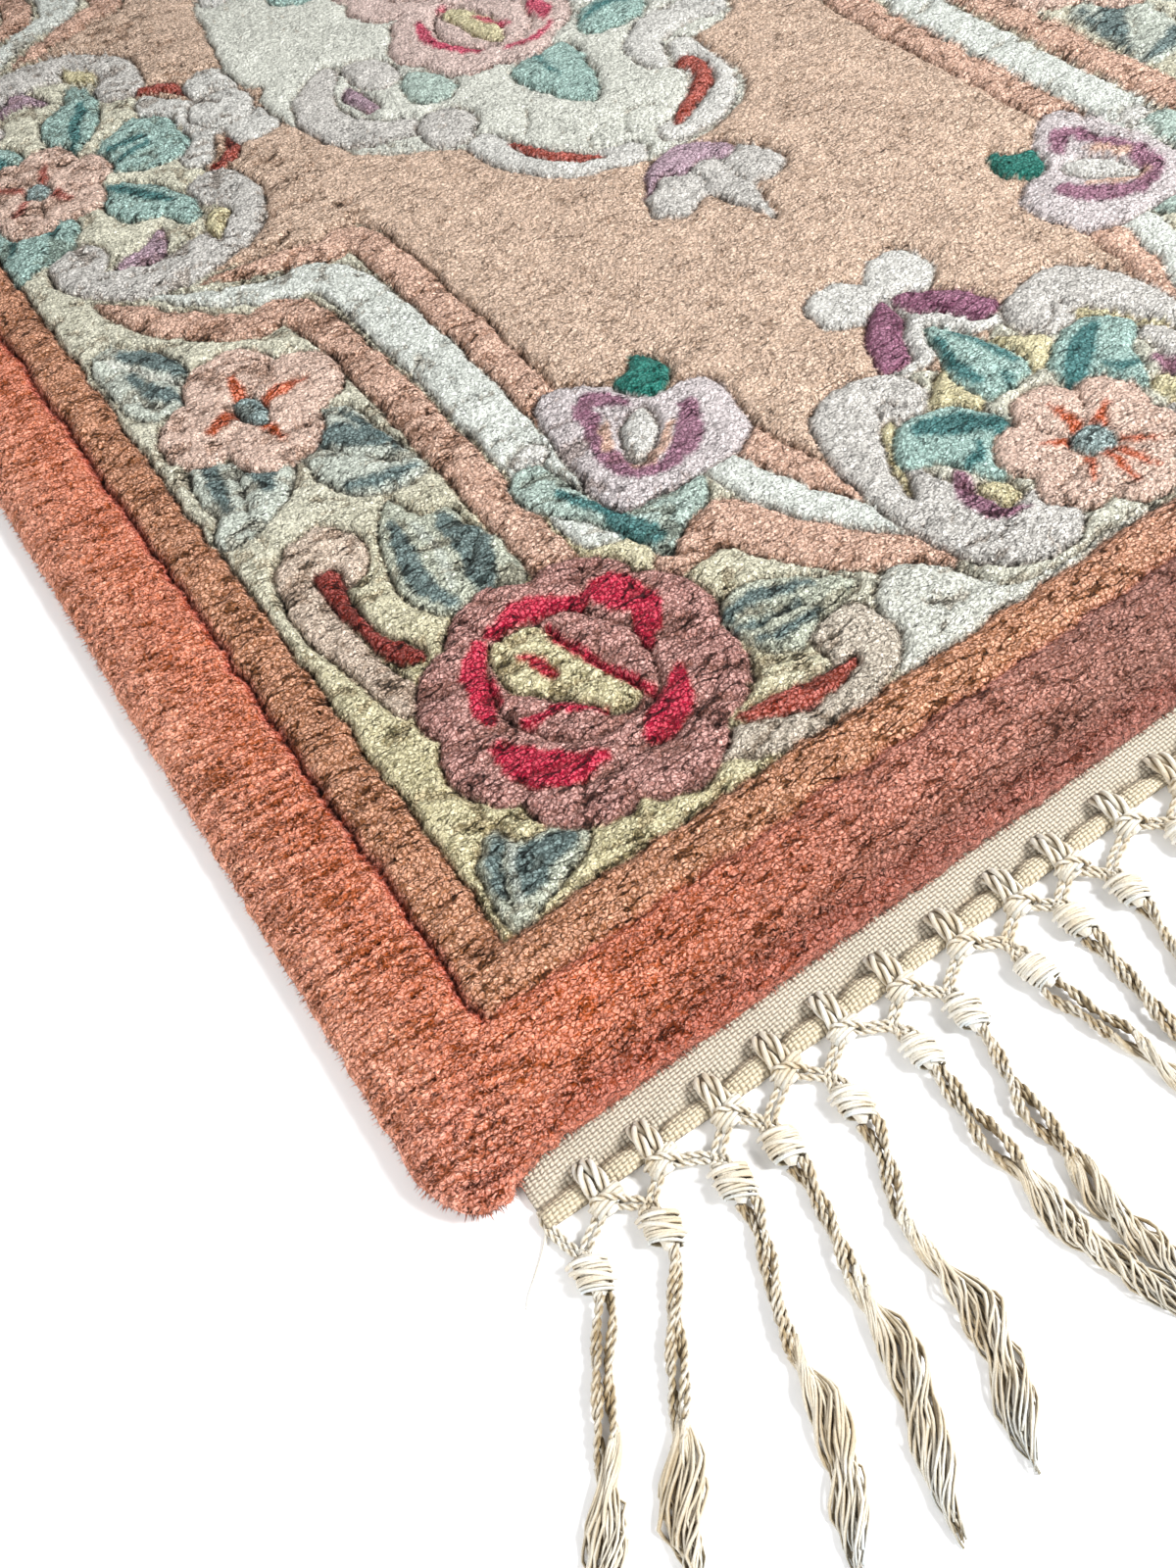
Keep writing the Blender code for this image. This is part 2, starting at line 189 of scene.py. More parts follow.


# %% [markdown]
# ## Dyes
#
# About thirty-five dyed yarns, matched and then compared with the photograph area by area.
# The coral border drifts from orange at the corner to a dusty rose along the end. Along the sides
# its tips are paler, partly worn and partly painted light, and the border carries painted shade.

# %% Dye table
DYES = {
    "coral": rgb(250, 159, 131), "rose_coral": rgb(228, 178, 166),
    "corner_rose": rgb(238, 132, 122), "worn_and_lit_tip": rgb(252, 186, 160),
    "brown": rgb(214, 160, 132), "pale_brown": rgb(224, 188, 174),
    "cream": rgb(228, 218, 180), "white": rgb(230, 231, 220), "field": rgb(227, 199, 178),
    "peach": rgb(232, 194, 174), "ice": rgb(232, 236, 228), "mauve": rgb(202, 156, 148),
    "crimson": rgb(208, 60, 86), "slate_leaf": rgb(208, 212, 194), "slate": rgb(108, 128, 128),
    "pale_leaf": rgb(214, 220, 208), "teal_leaf": rgb(178, 206, 198), "teal": rgb(76, 128, 128),
    "bud_teal": rgb(60, 130, 118), "mint": rgb(198, 216, 206), "scroll": rgb(218, 206, 190),
    "grey": rgb(220, 216, 210), "pale_grey": rgb(228, 226, 220), "oxblood": rgb(166, 86, 80),
    "dusty_red": rgb(190, 112, 102), "purple": rgb(164, 116, 138), "lilac": rgb(194, 168, 180),
    "lilac_grey": rgb(224, 214, 214), "daisy": rgb(238, 208, 192), "rust": rgb(214, 116, 88),
    "eye": rgb(168, 186, 184), "blush": rgb(230, 206, 198), "pink": rgb(212, 92, 118),
    "hook": rgb(226, 206, 188),
}
print(len(DYES), "dyes")

# %% [markdown]
# ## The drawing
#
# Each row is a carved or dyed shape, in the order in which they lie over each other. A band is a
# line of stations (u, v, half width), a patch is a closed outline, and a flower is a lobed disc
# (u, v, radius, lobes, depth, turn). These are carved round. A "streak" is only dyed into the
# shape below it and a "line" is only carved, and each of these rows holds one path or more. The
# medallion is the same after half a turn, and the rest is mirrored in both directions.

# %% Quarter drawing
QUARTER = (
    # kind, name, dye, stations or paths of stations
    ("patch", "field", "field", (
        (229, 292), (229, 498), (192, 516), (150, 534), (118, 544), (150, 570), (184, 610),
        (176, 650), (200, 690), (205, 716), (300, 740), (430, 740), (430, 186), (372, 180),
        (330, 160), (302, 140), (290, 190), (282, 215), (250, 262))),
    ("band", "stripe_c", "peach", (
        (217, 285, 12.5), (217, 486, 12.5), (190, 505, 12), (150, 522, 9), (120, 534, 2))),
    ("band", "stripe_b", "ice", (
        (188, 196, 16), (188, 455, 16), (150, 491, 12), (116, 515, 8), (88, 543, 3))),
    ("band", "stripe_a", "peach", (
        (157, 190, 12.5), (157, 442, 12.5), (120, 474, 13), (86, 510, 12), (68, 543, 8),
        (58, 562, 2))),
    ("line", "stripe_mark", "", (
        ((176, 279), (186, 283), (202, 281)), ((176, 352), (178, 366), (188, 374), (204, 372)),
        ((178, 448), (190, 440), (204, 442)))),
    ("patch", "stripe_oval", "pale_grey", (
        (177, 262), (184, 268), (196, 266), (199, 256), (184, 250))),
    ("band", "sweep_c", "peach", ((280, 200, 11), (285, 168, 11), (298, 130, 8))),
    ("band", "sweep_b", "ice", ((260, 200, 9), (267, 158, 12), (284, 118, 13), (300, 98, 6))),
    ("band", "sweep_a", "peach", (
        (206, 150, 11), (236, 158, 15), (251, 128, 15), (274, 98, 14), (302, 72, 11))),
    ("patch", "inner_white", "white", (
        (252, 44), (262, 72), (282, 78), (300, 62), (316, 34), (390, 30), (380, 25), (250, 25))),
    ("band", "cluster_scroll", "grey", (
        (354, 168, 20), (332, 173, 19), (318, 150, 17), (316, 118, 17), (320, 88, 19),
        (333, 62, 22), (352, 56, 20))),
    ("patch", "scroll_gap", "cream", (
        (341, 155), (330, 146), (318, 118), (316, 108), (328, 128), (344, 150))),
    ("streak", "scroll_purple", "purple", (
        ((341, 101, 4), (335, 85, 6), (339, 72, 6), (352, 64, 2)),)),
    ("patch", "scroll_hollow", "cream", ((343, 91), (357, 88), (358, 74), (346, 73))),
    ("line", "scroll_curl", "", (((340, 157), (346, 168), (356, 156), (368, 158), (376, 168)),)),
    ("patch", "cluster_cream", "cream", (
        (392, 168), (392, 140), (380, 132), (366, 148), (374, 158))),
    ("band", "fleur_stem", "pale_grey", (
        (406, 236, 13), (403, 212, 14), (388, 190, 13), (376, 180, 6))),
    ("patch", "fleur_lobe", "pale_grey", (
        (367, 240), (370, 258), (384, 263), (400, 258), (409, 240), (404, 226), (384, 222),
        (370, 230))),
    ("patch", "fleur_purple", "purple", (
        (404, 230), (390, 226), (376, 212), (364, 190), (370, 182), (384, 184), (392, 200),
        (404, 214))),
    ("patch", "cluster_leaf_top", "teal_leaf", (
        (408, 200), (396, 180), (387, 150), (390, 134), (402, 132), (420, 128), (436, 150),
        (426, 176))),
    ("streak", "leaf_top_vein", "teal", (((418, 168, 3), (416, 152, 6), (408, 138, 5)),)),
    ("streak", "leaf_top_side", "teal", (((402, 184, 2), (396, 164, 3), (394, 146, 3)),)),
    ("patch", "cluster_leaf_left", "teal_leaf", (
        (325, 125), (334, 142), (350, 150), (372, 142), (386, 124), (384, 109), (368, 106),
        (366, 96), (357, 87), (350, 96), (342, 114))),
    ("streak", "leaf_left_vein", "teal", (((348, 138, 4), (366, 128, 8), (384, 112, 5)),)),
    ("streak", "leaf_left_low", "teal", (((350, 104, 2), (358, 106, 3), (364, 112, 2)),)),
    ("flower", "cluster_flower", "daisy", (HALF_U, 78, 48, 6, 0.2, 90)),
    ("streak", "petal_rust", "rust", (
        ((406, 90, 4), (407, 106, 2)), ((396, 84, 3.5), (385, 91, 1.5)), ((395, 68, 3),
        (384, 56, 1.5)), ((404, 66, 3), (400, 44, 2)))),
    ("line", "petal_cut", "", (((396, 70), (370, 66)), ((398, 90), (384, 112)))),
    ("patch", "cluster_eye", "eye", (
        (396, 78), (400, 87), (412, 87), (417, 78), (412, 68), (400, 69))),
    ("patch", "stem_leaf", "mint", (
        (167, 232), (176, 214), (186, 200), (196, 178), (204, 154), (222, 166), (240, 172),
        (250, 186), (246, 196), (214, 194), (200, 204), (190, 250), (172, 254))),
    ("streak", "stem_leaf_dark", "teal", (((199, 208, 3), (198, 188, 7), (206, 168, 5)),)),
    ("streak", "stem_leaf_deep", "teal", (((184, 226, 2), (192, 208, 4), (200, 196, 5)),)),
    ("patch", "small_flower", "lilac_grey", (
        (200, 203), (214, 193), (248, 190), (284, 194), (294, 214), (299, 238), (288, 252),
        (264, 257), (258, 272), (232, 295), (212, 292), (204, 262), (200, 232))),
    ("streak", "small_ring", "purple", (
        ((230, 262, 5), (219, 240, 5), (222, 216, 7), (240, 206, 5), (262, 216, 8), (272, 232, 6)),
        ((226, 266, 4), (238, 272, 7), (248, 262, 4)))),
    ("streak", "small_peach", "peach", (
        ((222, 234, 3), (228, 246, 3.5), (234, 252, 2)), ((227, 216, 3), (242, 216, 4),
        (258, 228, 3)))),
    ("patch", "small_heart", "pale_grey", (
        (227, 222), (236, 244), (252, 252), (258, 246), (250, 230), (234, 217))),
    ("patch", "bud_leaf", "bud_teal", (
        (253, 276), (266, 281), (275, 291), (284, 282), (286, 266), (277, 257), (263, 257))),
    ("patch", "top_leaf", "slate_leaf", (
        (90, 205), (100, 194), (120, 192), (132, 185), (145, 196), (146, 222), (140, 240),
        (139, 258), (124, 262), (114, 284), (104, 272), (92, 250), (87, 225))),
    ("streak", "top_leaf_dark", "slate", (
        ((108, 262, 3), (101, 236, 6), (100, 212, 6), (106, 198, 3)), ((130, 250, 4),
        (132, 226, 10), (124, 202, 7)))),
    ("streak", "top_leaf_vein", "pale_leaf", (((117, 258, 2), (115, 232, 2), (111, 206, 2)),)),
    ("line", "top_leaf_cut", "", (((139, 230), (128, 218), (118, 214)),)),
    ("band", "hook", "hook", (
        (58, 160, 10), (50, 196, 9), (47, 232, 11), (54, 258, 15), (66, 268, 25))),
    ("line", "hook_curl", "", (((74, 238), (84, 243), (94, 256)),)),
    ("patch", "hook_red", "oxblood", (
        (58, 258), (70, 258), (67, 232), (68, 204), (80, 184), (74, 177), (62, 190), (58, 220))),
    ("band", "foot_hook", "scroll", (
        (150, 50, 9), (178, 38, 11), (208, 36, 12), (236, 46, 16), (238, 62, 18))),
    ("patch", "foot_red", "dusty_red", (
        (168, 56), (188, 57), (208, 51), (232, 50), (226, 43), (206, 38), (184, 44))),
    ("patch", "right_leaf", "slate_leaf", (
        (196, 108), (204, 116), (218, 117), (236, 107), (260, 86), (250, 78), (232, 74), (212, 67),
        (200, 84))),
    ("streak", "right_leaf_dark", "slate", (((200, 104, 3), (220, 103, 4), (240, 95, 3)),)),
    ("streak", "right_leaf_low", "slate", (((205, 84, 2), (218, 78, 3), (236, 80, 2)),)),
    ("streak", "right_leaf_mid", "slate", (((198, 95, 2), (216, 91, 2), (232, 88, 1.5)),)),
    ("line", "right_leaf_vein", "", (((204, 92), (222, 90), (240, 84)),)),
    ("patch", "corner_leaf", "slate_leaf", (
        (33, 27), (31, 48), (37, 66), (50, 74), (58, 62), (70, 61), (84, 50), (76, 38), (52, 32))),
    ("streak", "corner_leaf_dark", "slate", (((44, 40, 4), (56, 48, 10), (74, 49, 5)),)),
    ("streak", "corner_leaf_side", "slate", (((36, 44, 2), (41, 58, 4), (50, 68, 3)),)),
    ("streak", "corner_leaf_light", "pale_leaf", (((40, 36, 1.5), (48, 52, 2), (54, 62, 1.5)),)),
    ("line", "corner_leaf_vein", "", (((37, 36), (40, 52), (50, 62)),)),
    ("patch", "low_petal", "mauve", (
        (108, 56), (116, 42), (134, 36), (150, 42), (157, 56), (140, 70), (120, 68))),
    ("flower", "rose", "mauve", (126, 117, 79, 8, 0.1, 12)),
    ("streak", "crimson_top", "crimson", (((107, 168, 3), (128, 172, 6), (152, 157, 5)),)),
    ("streak", "crimson_left", "crimson", (((80, 124, 3), (87, 146, 7), (100, 164, 4)),)),
    ("streak", "crimson_right", "crimson", (
        ((158, 160, 4), (170, 151, 10), (175, 134, 9), (164, 116, 5)),)),
    ("streak", "crimson_low_left", "crimson", (
        ((75, 110, 3), (81, 92, 9), (92, 80, 9), (110, 74, 3)),)),
    ("streak", "crimson_low", "crimson", (((134, 70, 4), (148, 77, 10), (164, 92, 5)),)),
    ("patch", "rose_heart", "mauve", (
        (87, 124), (92, 144), (104, 159), (122, 164), (144, 158), (160, 138), (163, 116),
        (154, 96), (138, 86), (116, 86), (98, 98))),
    ("patch", "heart_cream", "cream", (
        (99, 150), (106, 163), (124, 164), (131, 154), (136, 130), (141, 112), (144, 95),
        (132, 91), (122, 104), (108, 122), (97, 132))),
    ("streak", "heart_red", "crimson", (
        ((131, 157, 2), (134, 136, 3.5), (141, 112, 3), (147, 94, 3)), ((111, 148, 1.5),
        (116, 138, 4), (119, 128, 2)), ((94, 112, 2), (110, 109, 3), (126, 96, 2)), ((90, 132, 2),
        (93, 146, 2.5)))),
    ("line", "petal", "", (
        ((96, 68), (90, 58)), ((154, 68), (160, 56)), ((180, 104), (202, 100)), ((154, 158),
        (166, 176)), ((106, 168), (100, 190)), ((72, 150), (56, 162)), ((78, 108), (52, 106)))),
    ("line", "petal_fold", "", (((96, 70), (120, 66), (150, 66), (176, 78)),)),
    ("patch", "daisy_leaf_high", "pale_leaf", (
        (30, 482), (32, 450), (40, 436), (56, 432), (68, 441), (74, 456), (77, 472), (71, 490),
        (60, 502), (46, 516), (33, 508))),
    ("streak", "daisy_leaf_high", "slate", (
        ((52, 498, 4), (65, 482, 8), (72, 462, 5)), ((47, 476, 3), (54, 452, 6), (64, 440, 4)))),
    ("streak", "daisy_leaf_high", "white", (((44, 500, 1.5), (56, 474, 2), (70, 450, 2)),)),
    ("line", "daisy_leaf_high_cut", "", (((50, 486), (60, 464), (72, 448)),)),
    ("patch", "daisy_leaf_side", "pale_leaf", (
        (28, 316), (36, 334), (36, 362), (42, 385), (58, 382), (64, 364), (76, 352), (88, 345),
        (78, 326), (60, 313), (40, 308))),
    ("streak", "daisy_leaf_side", "slate", (
        ((50, 374, 4), (48, 352, 5), (44, 335, 3)), ((66, 360, 3), (73, 348, 6), (70, 334, 4)))),
    ("line", "daisy_leaf_side_cut", "", (((60, 372), (60, 350), (52, 328)),)),
    ("patch", "daisy_leaf_low", "pale_leaf", (
        (94, 350), (108, 362), (116, 374), (134, 368), (139, 345), (142, 322), (145, 294),
        (124, 288), (107, 296), (96, 316))),
    ("streak", "daisy_leaf_low", "slate", (
        ((102, 350, 4), (118, 348, 8), (132, 326, 6)), ((104, 306, 3), (122, 297, 5),
        (140, 296, 2)), ((128, 362, 2), (135, 340, 3), (140, 312, 2)))),
    ("line", "daisy_leaf_low_cut", "", (((106, 352), (118, 328), (138, 302)),)),
    ("flower", "daisy", "daisy", (91, 403, 57, 4, 0.3, 0)),
    ("streak", "daisy_rust", "rust", (
        ((92, 413, 4), (93, 432, 3)), ((100, 402, 4), (112, 402, 5), (126, 402, 2)), ((90, 390, 4),
        (94, 366, 2)), ((82, 406, 4), (64, 398, 3)))),
    ("line", "daisy_cut", "", (
        ((98, 416), (112, 424), (116, 434)), ((80, 392), (66, 384)), ((98, 372), (114, 362),
        (106, 352)))),
    ("patch", "daisy_eye", "eye", (
        (82, 403), (86, 413), (95, 413), (99, 402), (96, 388), (91, 385), (84, 394))),
    ("band", "side_scroll", "grey", (
        (66, 610, 20), (64, 584, 13), (96, 562, 19), (132, 560, 20), (164, 574, 18),
        (180, 600, 15), (172, 624, 20))),
    ("patch", "scroll_crescent", "cream", (
        (148, 568), (160, 580), (168, 594), (158, 600), (146, 588))),
    ("patch", "scroll_rosy", "lilac", (
        (82, 588), (94, 594), (108, 598), (124, 607), (120, 588), (108, 574), (96, 582))),
    ("line", "scroll_head", "", (((154, 602), (166, 599), (178, 608)), ((80, 592), (92, 600)))),
    ("band", "trefoil_stem", "pale_grey", ((208, 704, 14), (186, 690, 16), (178, 664, 11))),
    ("patch", "trefoil_red", "dusty_red", (
        (210, 684), (203, 676), (195, 660), (178, 646), (182, 640), (196, 644), (210, 664))),
    ("patch", "trefoil_lobe", "pale_grey", (
        (206, 664), (220, 654), (236, 658), (243, 674), (236, 694), (216, 700), (206, 690))),
    ("flower", "trefoil_tip", "pale_grey", (216, HALF_V, 25, 1, 0.05, 0)),
    ("patch", "side_leaf_low", "teal_leaf", (
        (20, 624), (45, 623), (70, 631), (82, 648), (83, 666), (73, 682), (56, 692), (36, 692),
        (22, 680))),
    ("streak", "side_leaf_low", "teal", (
        ((57, 680, 4), (64, 668, 8), (66, 652, 3)), ((46, 686, 3), (41, 664, 3.5), (34, 650, 2)))),
    ("patch", "side_leaf_mid", "teal_leaf", (
        (112, 684), (130, 672), (143, 655), (153, 630), (153, 604), (139, 598), (130, 617),
        (110, 628), (102, 650), (104, 668))),
    ("streak", "side_leaf_mid", "teal", (((116, 676, 3), (128, 652, 5), (142, 630, 3)),)),
    ("patch", "side_leaf_high", "teal_leaf", (
        (125, 696), (140, 682), (160, 675), (178, 684), (184, 700), (176, 716), (140, 730),
        (128, 716))),
    ("streak", "side_leaf_high", "teal", (((134, 702, 3), (156, 706, 4)),)),
    ("flower", "side_flower", "daisy", (76, HALF_V, 54, 6, 0.2, 0)),
    ("streak", "side_flower_red", "dusty_red", (
        ((84, 700, 4), (90, 686, 3)), ((66, 702, 3), (54, 692, 3)))),
    ("line", "side_cut", "", (((88, 702), (118, 690)), ((74, 700), (68, 676)))),
    ("patch", "side_eye", "eye", ((66, 716), (68, 706), (76, 701), (84, 706), (84, 716))),
)

# %% Medallion drawing
MEDALLION = (
    # kind, name, dye, stations or paths of stations
    ("patch", "ground", "white", (
        (262, 722), (256, 600), (276, 566), (314, 536), (318, 500), (336, 468), (368, 446),
        (404, 436), (444, 437), (478, 450), (494, 482), (494, 530), (536, 540), (558, 600),
        (551, 722))),
    ("band", "acanthus_left", "pale_grey", (
        (326, 530, 12), (334, 500, 14), (352, 466, 13), (388, 450, 12))),
    ("band", "acanthus_right", "pale_grey", (
        (486, 530, 10), (480, 490, 14), (458, 458, 14), (424, 450, 12))),
    ("patch", "acanthus_red_left", "dusty_red", (
        (337, 520), (344, 512), (356, 488), (374, 460), (360, 466), (344, 488))),
    ("patch", "acanthus_red_right", "dusty_red", (
        (466, 512), (480, 518), (486, 504), (474, 476), (446, 462), (428, 454), (430, 462),
        (452, 478), (472, 496))),
    ("line", "scallop", "", (
        ((372, 470), (378, 482), (392, 486)), ((400, 470), (410, 488), (428, 486), (436, 472)),
        ((352, 520), (362, 528), (366, 540)))),
    ("band", "head_low", "grey", (
        (292, 690, 8), (270, 668, 15), (262, 636, 16), (276, 600, 16), (300, 586, 10))),
    ("patch", "head_low_eye", "grey", (
        (300, 688), (322, 686), (332, 668), (328, 646), (314, 640), (302, 650))),
    ("patch", "head_low_purple", "lilac", (
        (286, 656), (296, 660), (298, 644), (300, 624), (292, 622), (286, 640))),
    ("patch", "lower_curl", "grey", (
        (304, 582), (318, 590), (334, 584), (341, 566), (332, 548), (314, 542), (302, 556))),
    ("line", "curl_edge", "", (((262, 600), (282, 572), (304, 548)),)),
    ("patch", "small_leaf", "mint", (
        (318, 622), (330, 644), (346, 632), (352, 606), (336, 596), (322, 600))),
    ("patch", "leaf_point", "teal_leaf", (
        (384, 590), (385, 560), (394, 532), (408, 518), (420, 534), (430, 560), (434, 592),
        (410, 600))),
    ("streak", "leaf_point_vein", "teal", (((407, 594, 2.5), (405, 574, 2), (403, 556, 1)),)),
    ("patch", "leaf_right", "teal_leaf", (
        (448, 596), (462, 620), (484, 626), (504, 612), (500, 590), (474, 582))),
    ("streak", "leaf_right_vein", "teal", (((456, 606, 2), (474, 612, 5), (494, 604, 2)),)),
    ("band", "right_scroll", "pale_grey", (
        (528, 560, 16), (500, 566, 16), (470, 552, 14), (462, 522, 9))),
    ("line", "right_scroll_cut", "", (((452, 548), (470, 572), (500, 578), (520, 566)),)),
    ("flower", "middle_rose", "blush", (404, 664, 68, 7, 0.1, 20)),
    ("streak", "rose_arc_left", "pink", (
        ((371, 694, 3), (366, 664, 5), (374, 642, 7), (384, 630, 4)),)),
    ("streak", "rose_arc_top", "pink", (((394, 700, 4), (412, 692, 6), (428, 680, 4)),)),
    ("streak", "rose_arc_right", "pink", (((444, 660, 4), (446, 646, 7), (440, 632, 3)),)),
    ("streak", "rose_arc_low", "pink", (((398, 616, 2), (418, 612, 3.5), (440, 622, 2.5)),)),
    ("patch", "middle_heart", "blush", (
        (374, 670), (384, 694), (406, 702), (430, 690), (440, 662), (430, 634), (406, 624),
        (384, 636))),
    ("patch", "middle_cream", "cream", (
        (390, 694), (402, 696), (412, 676), (414, 652), (404, 630), (396, 640), (392, 668))),
    ("streak", "middle_red", "pink", (((405, 670, 2), (411, 656, 4), (417, 642, 2)),)),
    ("patch", "lotus", "grey", (
        (362, 392), (360, 380), (374, 371), (396, 380), (402, 362), (410, 332), (418, 352),
        (424, 368), (438, 366), (453, 376), (450, 394), (438, 414), (424, 432), (404, 436),
        (382, 426))),
    ("patch", "lotus_dome", "lilac", (
        (368, 404), (382, 426), (404, 436), (424, 432), (440, 412), (428, 404), (414, 412),
        (400, 408), (384, 414))),
    ("line", "lotus_cut", "", (
        ((396, 380), (404, 396), (404, 410)), ((424, 370), (420, 392), (424, 406)))),
)
print(len(QUARTER) + len(MEDALLION), "rows drawn")

# %% [markdown]
# ## Painting and carving the pile
#
# For a point of the pile the drawing gives two things: the dye of its yarn and the distance to the
# nearest carved outline. The outlines wander a little, since no two knots line up. Shears cut a
# narrow channel along each outline and leave each flower crowned, and old pile also parts between
# its rows of knots into short rifts that run across the rug. Channels and rifts get painted shade.


# %% Paint the drawing
def wander(u, v):
    """Plan points moved about a little, as no two knots line up."""
    du = 1.5 * noise(u, v, 13, 1) + 0.9 * noise(u, v, 4.5, 2) + 0.4 * noise(u, v, 1.9, 3)
    dv = 1.5 * noise(u, v, 13, 4) + 0.9 * noise(u, v, 4.5, 5) + 0.4 * noise(u, v, 1.9, 6)
    return u + du, v + dv


def lay(shapes, u, v, colour, edge):
    """Lays the drawn shapes over each other, changing colour and edge in place."""
    ragged = 1.3 * noise(u, v, 3.1, 9)
    for kind, _name, dye, stations in shapes:
        if kind == "line":
            for path in stations:
                gap = band_distance(u, v, [(*place, 0.0) for place in path])
                edge[:] = np.minimum(edge, gap + 0.7)
            continue
        if kind == "streak":
            for path in stations:
                share = 0.92 * step(1.6, -1.6, band_distance(u, v, path) + ragged)
                colour[:] = mixed(colour, DYES[dye], share)
            continue
        if kind == "band":
            gap = band_distance(u, v, stations)
        elif kind == "patch":
            gap = patch_distance(u, v, stations)
        else:
            gap = flower_distance(u, v, *stations)
        colour[:] = mixed(colour, DYES[dye], step(0.7, -0.7, gap))
        edge[:] = np.where(gap < 0, -gap, np.minimum(edge, gap))


def border_dye_and_shade(u, v, qu, qv, rim):
    """The plain border, orange at the corner and rosy along the ends, with painted shade and pale
    tips.
    """
    rosy = 0.75 * step(40, 330, qu + 20 * noise(u, v, 60, 8))
    coral = mixed(DYES["coral"], DYES["rose_coral"], rosy)
    tip = (0.8 * np.exp(-((qu + 44) ** 2 + (qv + 46) ** 2) / 30 ** 2)
           + 0.4 * step(-38, -52, qv) * step(-20, 30, qu))
    coral = mixed(coral, DYES["corner_rose"], tip)
    # painted shade: a side border is a little darker on its inner side, an end border darker all
    # over, most on its outer strip, where it droops, and towards the middle of the end
    at_end = step(0, 60, qu - qv)
    inward = step(-46, -26, qv)
    droop_shade = 0.62 - 0.17 * step(0, 200, qu) - 0.04 * step(200, 340, qu)
    crown = 0.86 - 0.12 * step(40, 200, qu) - 0.2 * step(200, 380, qu)
    end_shade = droop_shade * (1 - inward) + crown * inward
    side_shade = 1 - 0.08 * step(-26, -6, rim)
    coral = coral * (side_shade * (1 - at_end) + end_shade * at_end)[:, None]
    # a side border is paler towards its edge and a little all over: partly worn tips, partly
    # painted light
    worn = step(-12, -46, rim) * (0.5 - 0.45 * at_end) + 0.18 * (1 - at_end)
    return mixed(coral, DYES["worn_and_lit_tip"], worn)


def paint(u, v):
    """For each plan point its dye, with painted light and shade on the border, its distance to a
    carved line and that to the border.
    """
    wu, wv = wander(u, v)
    qu, qv = np.minimum(wu, 2 * HALF_U - wu), np.minimum(wv, 2 * HALF_V - wv)
    rim = np.minimum(qu, qv)
    ground = np.maximum(0.75 * step(130, 300, qu),
                        0.6 * step(110, 330, qv + 14 * noise(u, v, 40, 7)))
    colour = mixed(DYES["cream"], DYES["white"], ground)
    edge = np.full(len(u), FAR_OFF)
    lay(QUARTER, qu, qv, colour, edge)
    turned = wv > HALF_V
    hu = np.where(turned, 2 * HALF_U - wu, wu)
    hv = np.where(turned, 2 * HALF_V - wv, wv)
    lay(MEDALLION, hu, hv, colour, edge)
    # the brown stripe turns paler and pinker towards the middle of each end
    towards_middle = step(260, 620, qu + 25 * noise(u, v, 60, 10))
    brown = mixed(DYES["brown"], DYES["pale_brown"], towards_middle)
    colour = mixed(colour, brown, step(STRIPE + 0.6, STRIPE - 0.8, rim))
    past_stripe = np.abs(rim - STRIPE)
    edge = np.where(rim < STRIPE, past_stripe, np.minimum(edge, past_stripe))
    colour = mixed(colour, border_dye_and_shade(u, v, qu, qv, rim), step(0.8, -0.8, rim))
    edge = np.where(rim < 0, -rim, np.minimum(edge, np.abs(rim)))
    return colour, edge, rim


# %% Carve and crown it
def open_field(u, rim):
    """1 in the plain middle of the rug and 0 among the motifs."""
    return np.clip((np.minimum(u, 2 * HALF_U - u) - 215) / 30, 0, 1) * step(60, 110, rim)


def rifts(u, v, rim):
    """How deeply the pile has parted between two rows of knots, from 0 to 1."""
    along, over = 0.91 * u - 0.41 * v, 0.41 * u + 0.91 * v
    bend = over + 2.6 * noise(u, v, 14, 21) + 1.0 * noise(u, v, 5, 22)
    row = np.abs(noise(along, bend, (22, 7.0), 23))
    some = step(-0.35, 0.35, noise(u, v, (15, 9), 24))
    on_border = np.where(u < 0, 0.45, 0.3)
    on_stripe = np.where(v > u, 0.9, 0.3)
    strong = np.where(rim < 0, on_border, np.where(rim < STRIPE, on_stripe, 0.85))
    strong = strong * (1 - 0.6 * step(250, 450, u))
    parted = strong * (1 - 0.85 * open_field(u, rim)) * some * step(0.4, 0.04, row)
    # on the left border the pile lies in long rolls, side by side
    lying = 0.14 * u + 0.99 * v + 2.4 * noise(u, v, 15, 28) + 1.6 * noise(u, v, (34, 9), 26)
    rolls = step(0.44, 0.08, np.abs(np.sin(math.pi * lying / 7.4)))
    rolls = rolls * np.where(u < 0, 1.0, np.where((rim < STRIPE) & (u < v), 0.6, 0.0))
    return np.maximum(parted, rolls * step(-0.5, 0.2, noise(u, v, (18, 12), 27)))


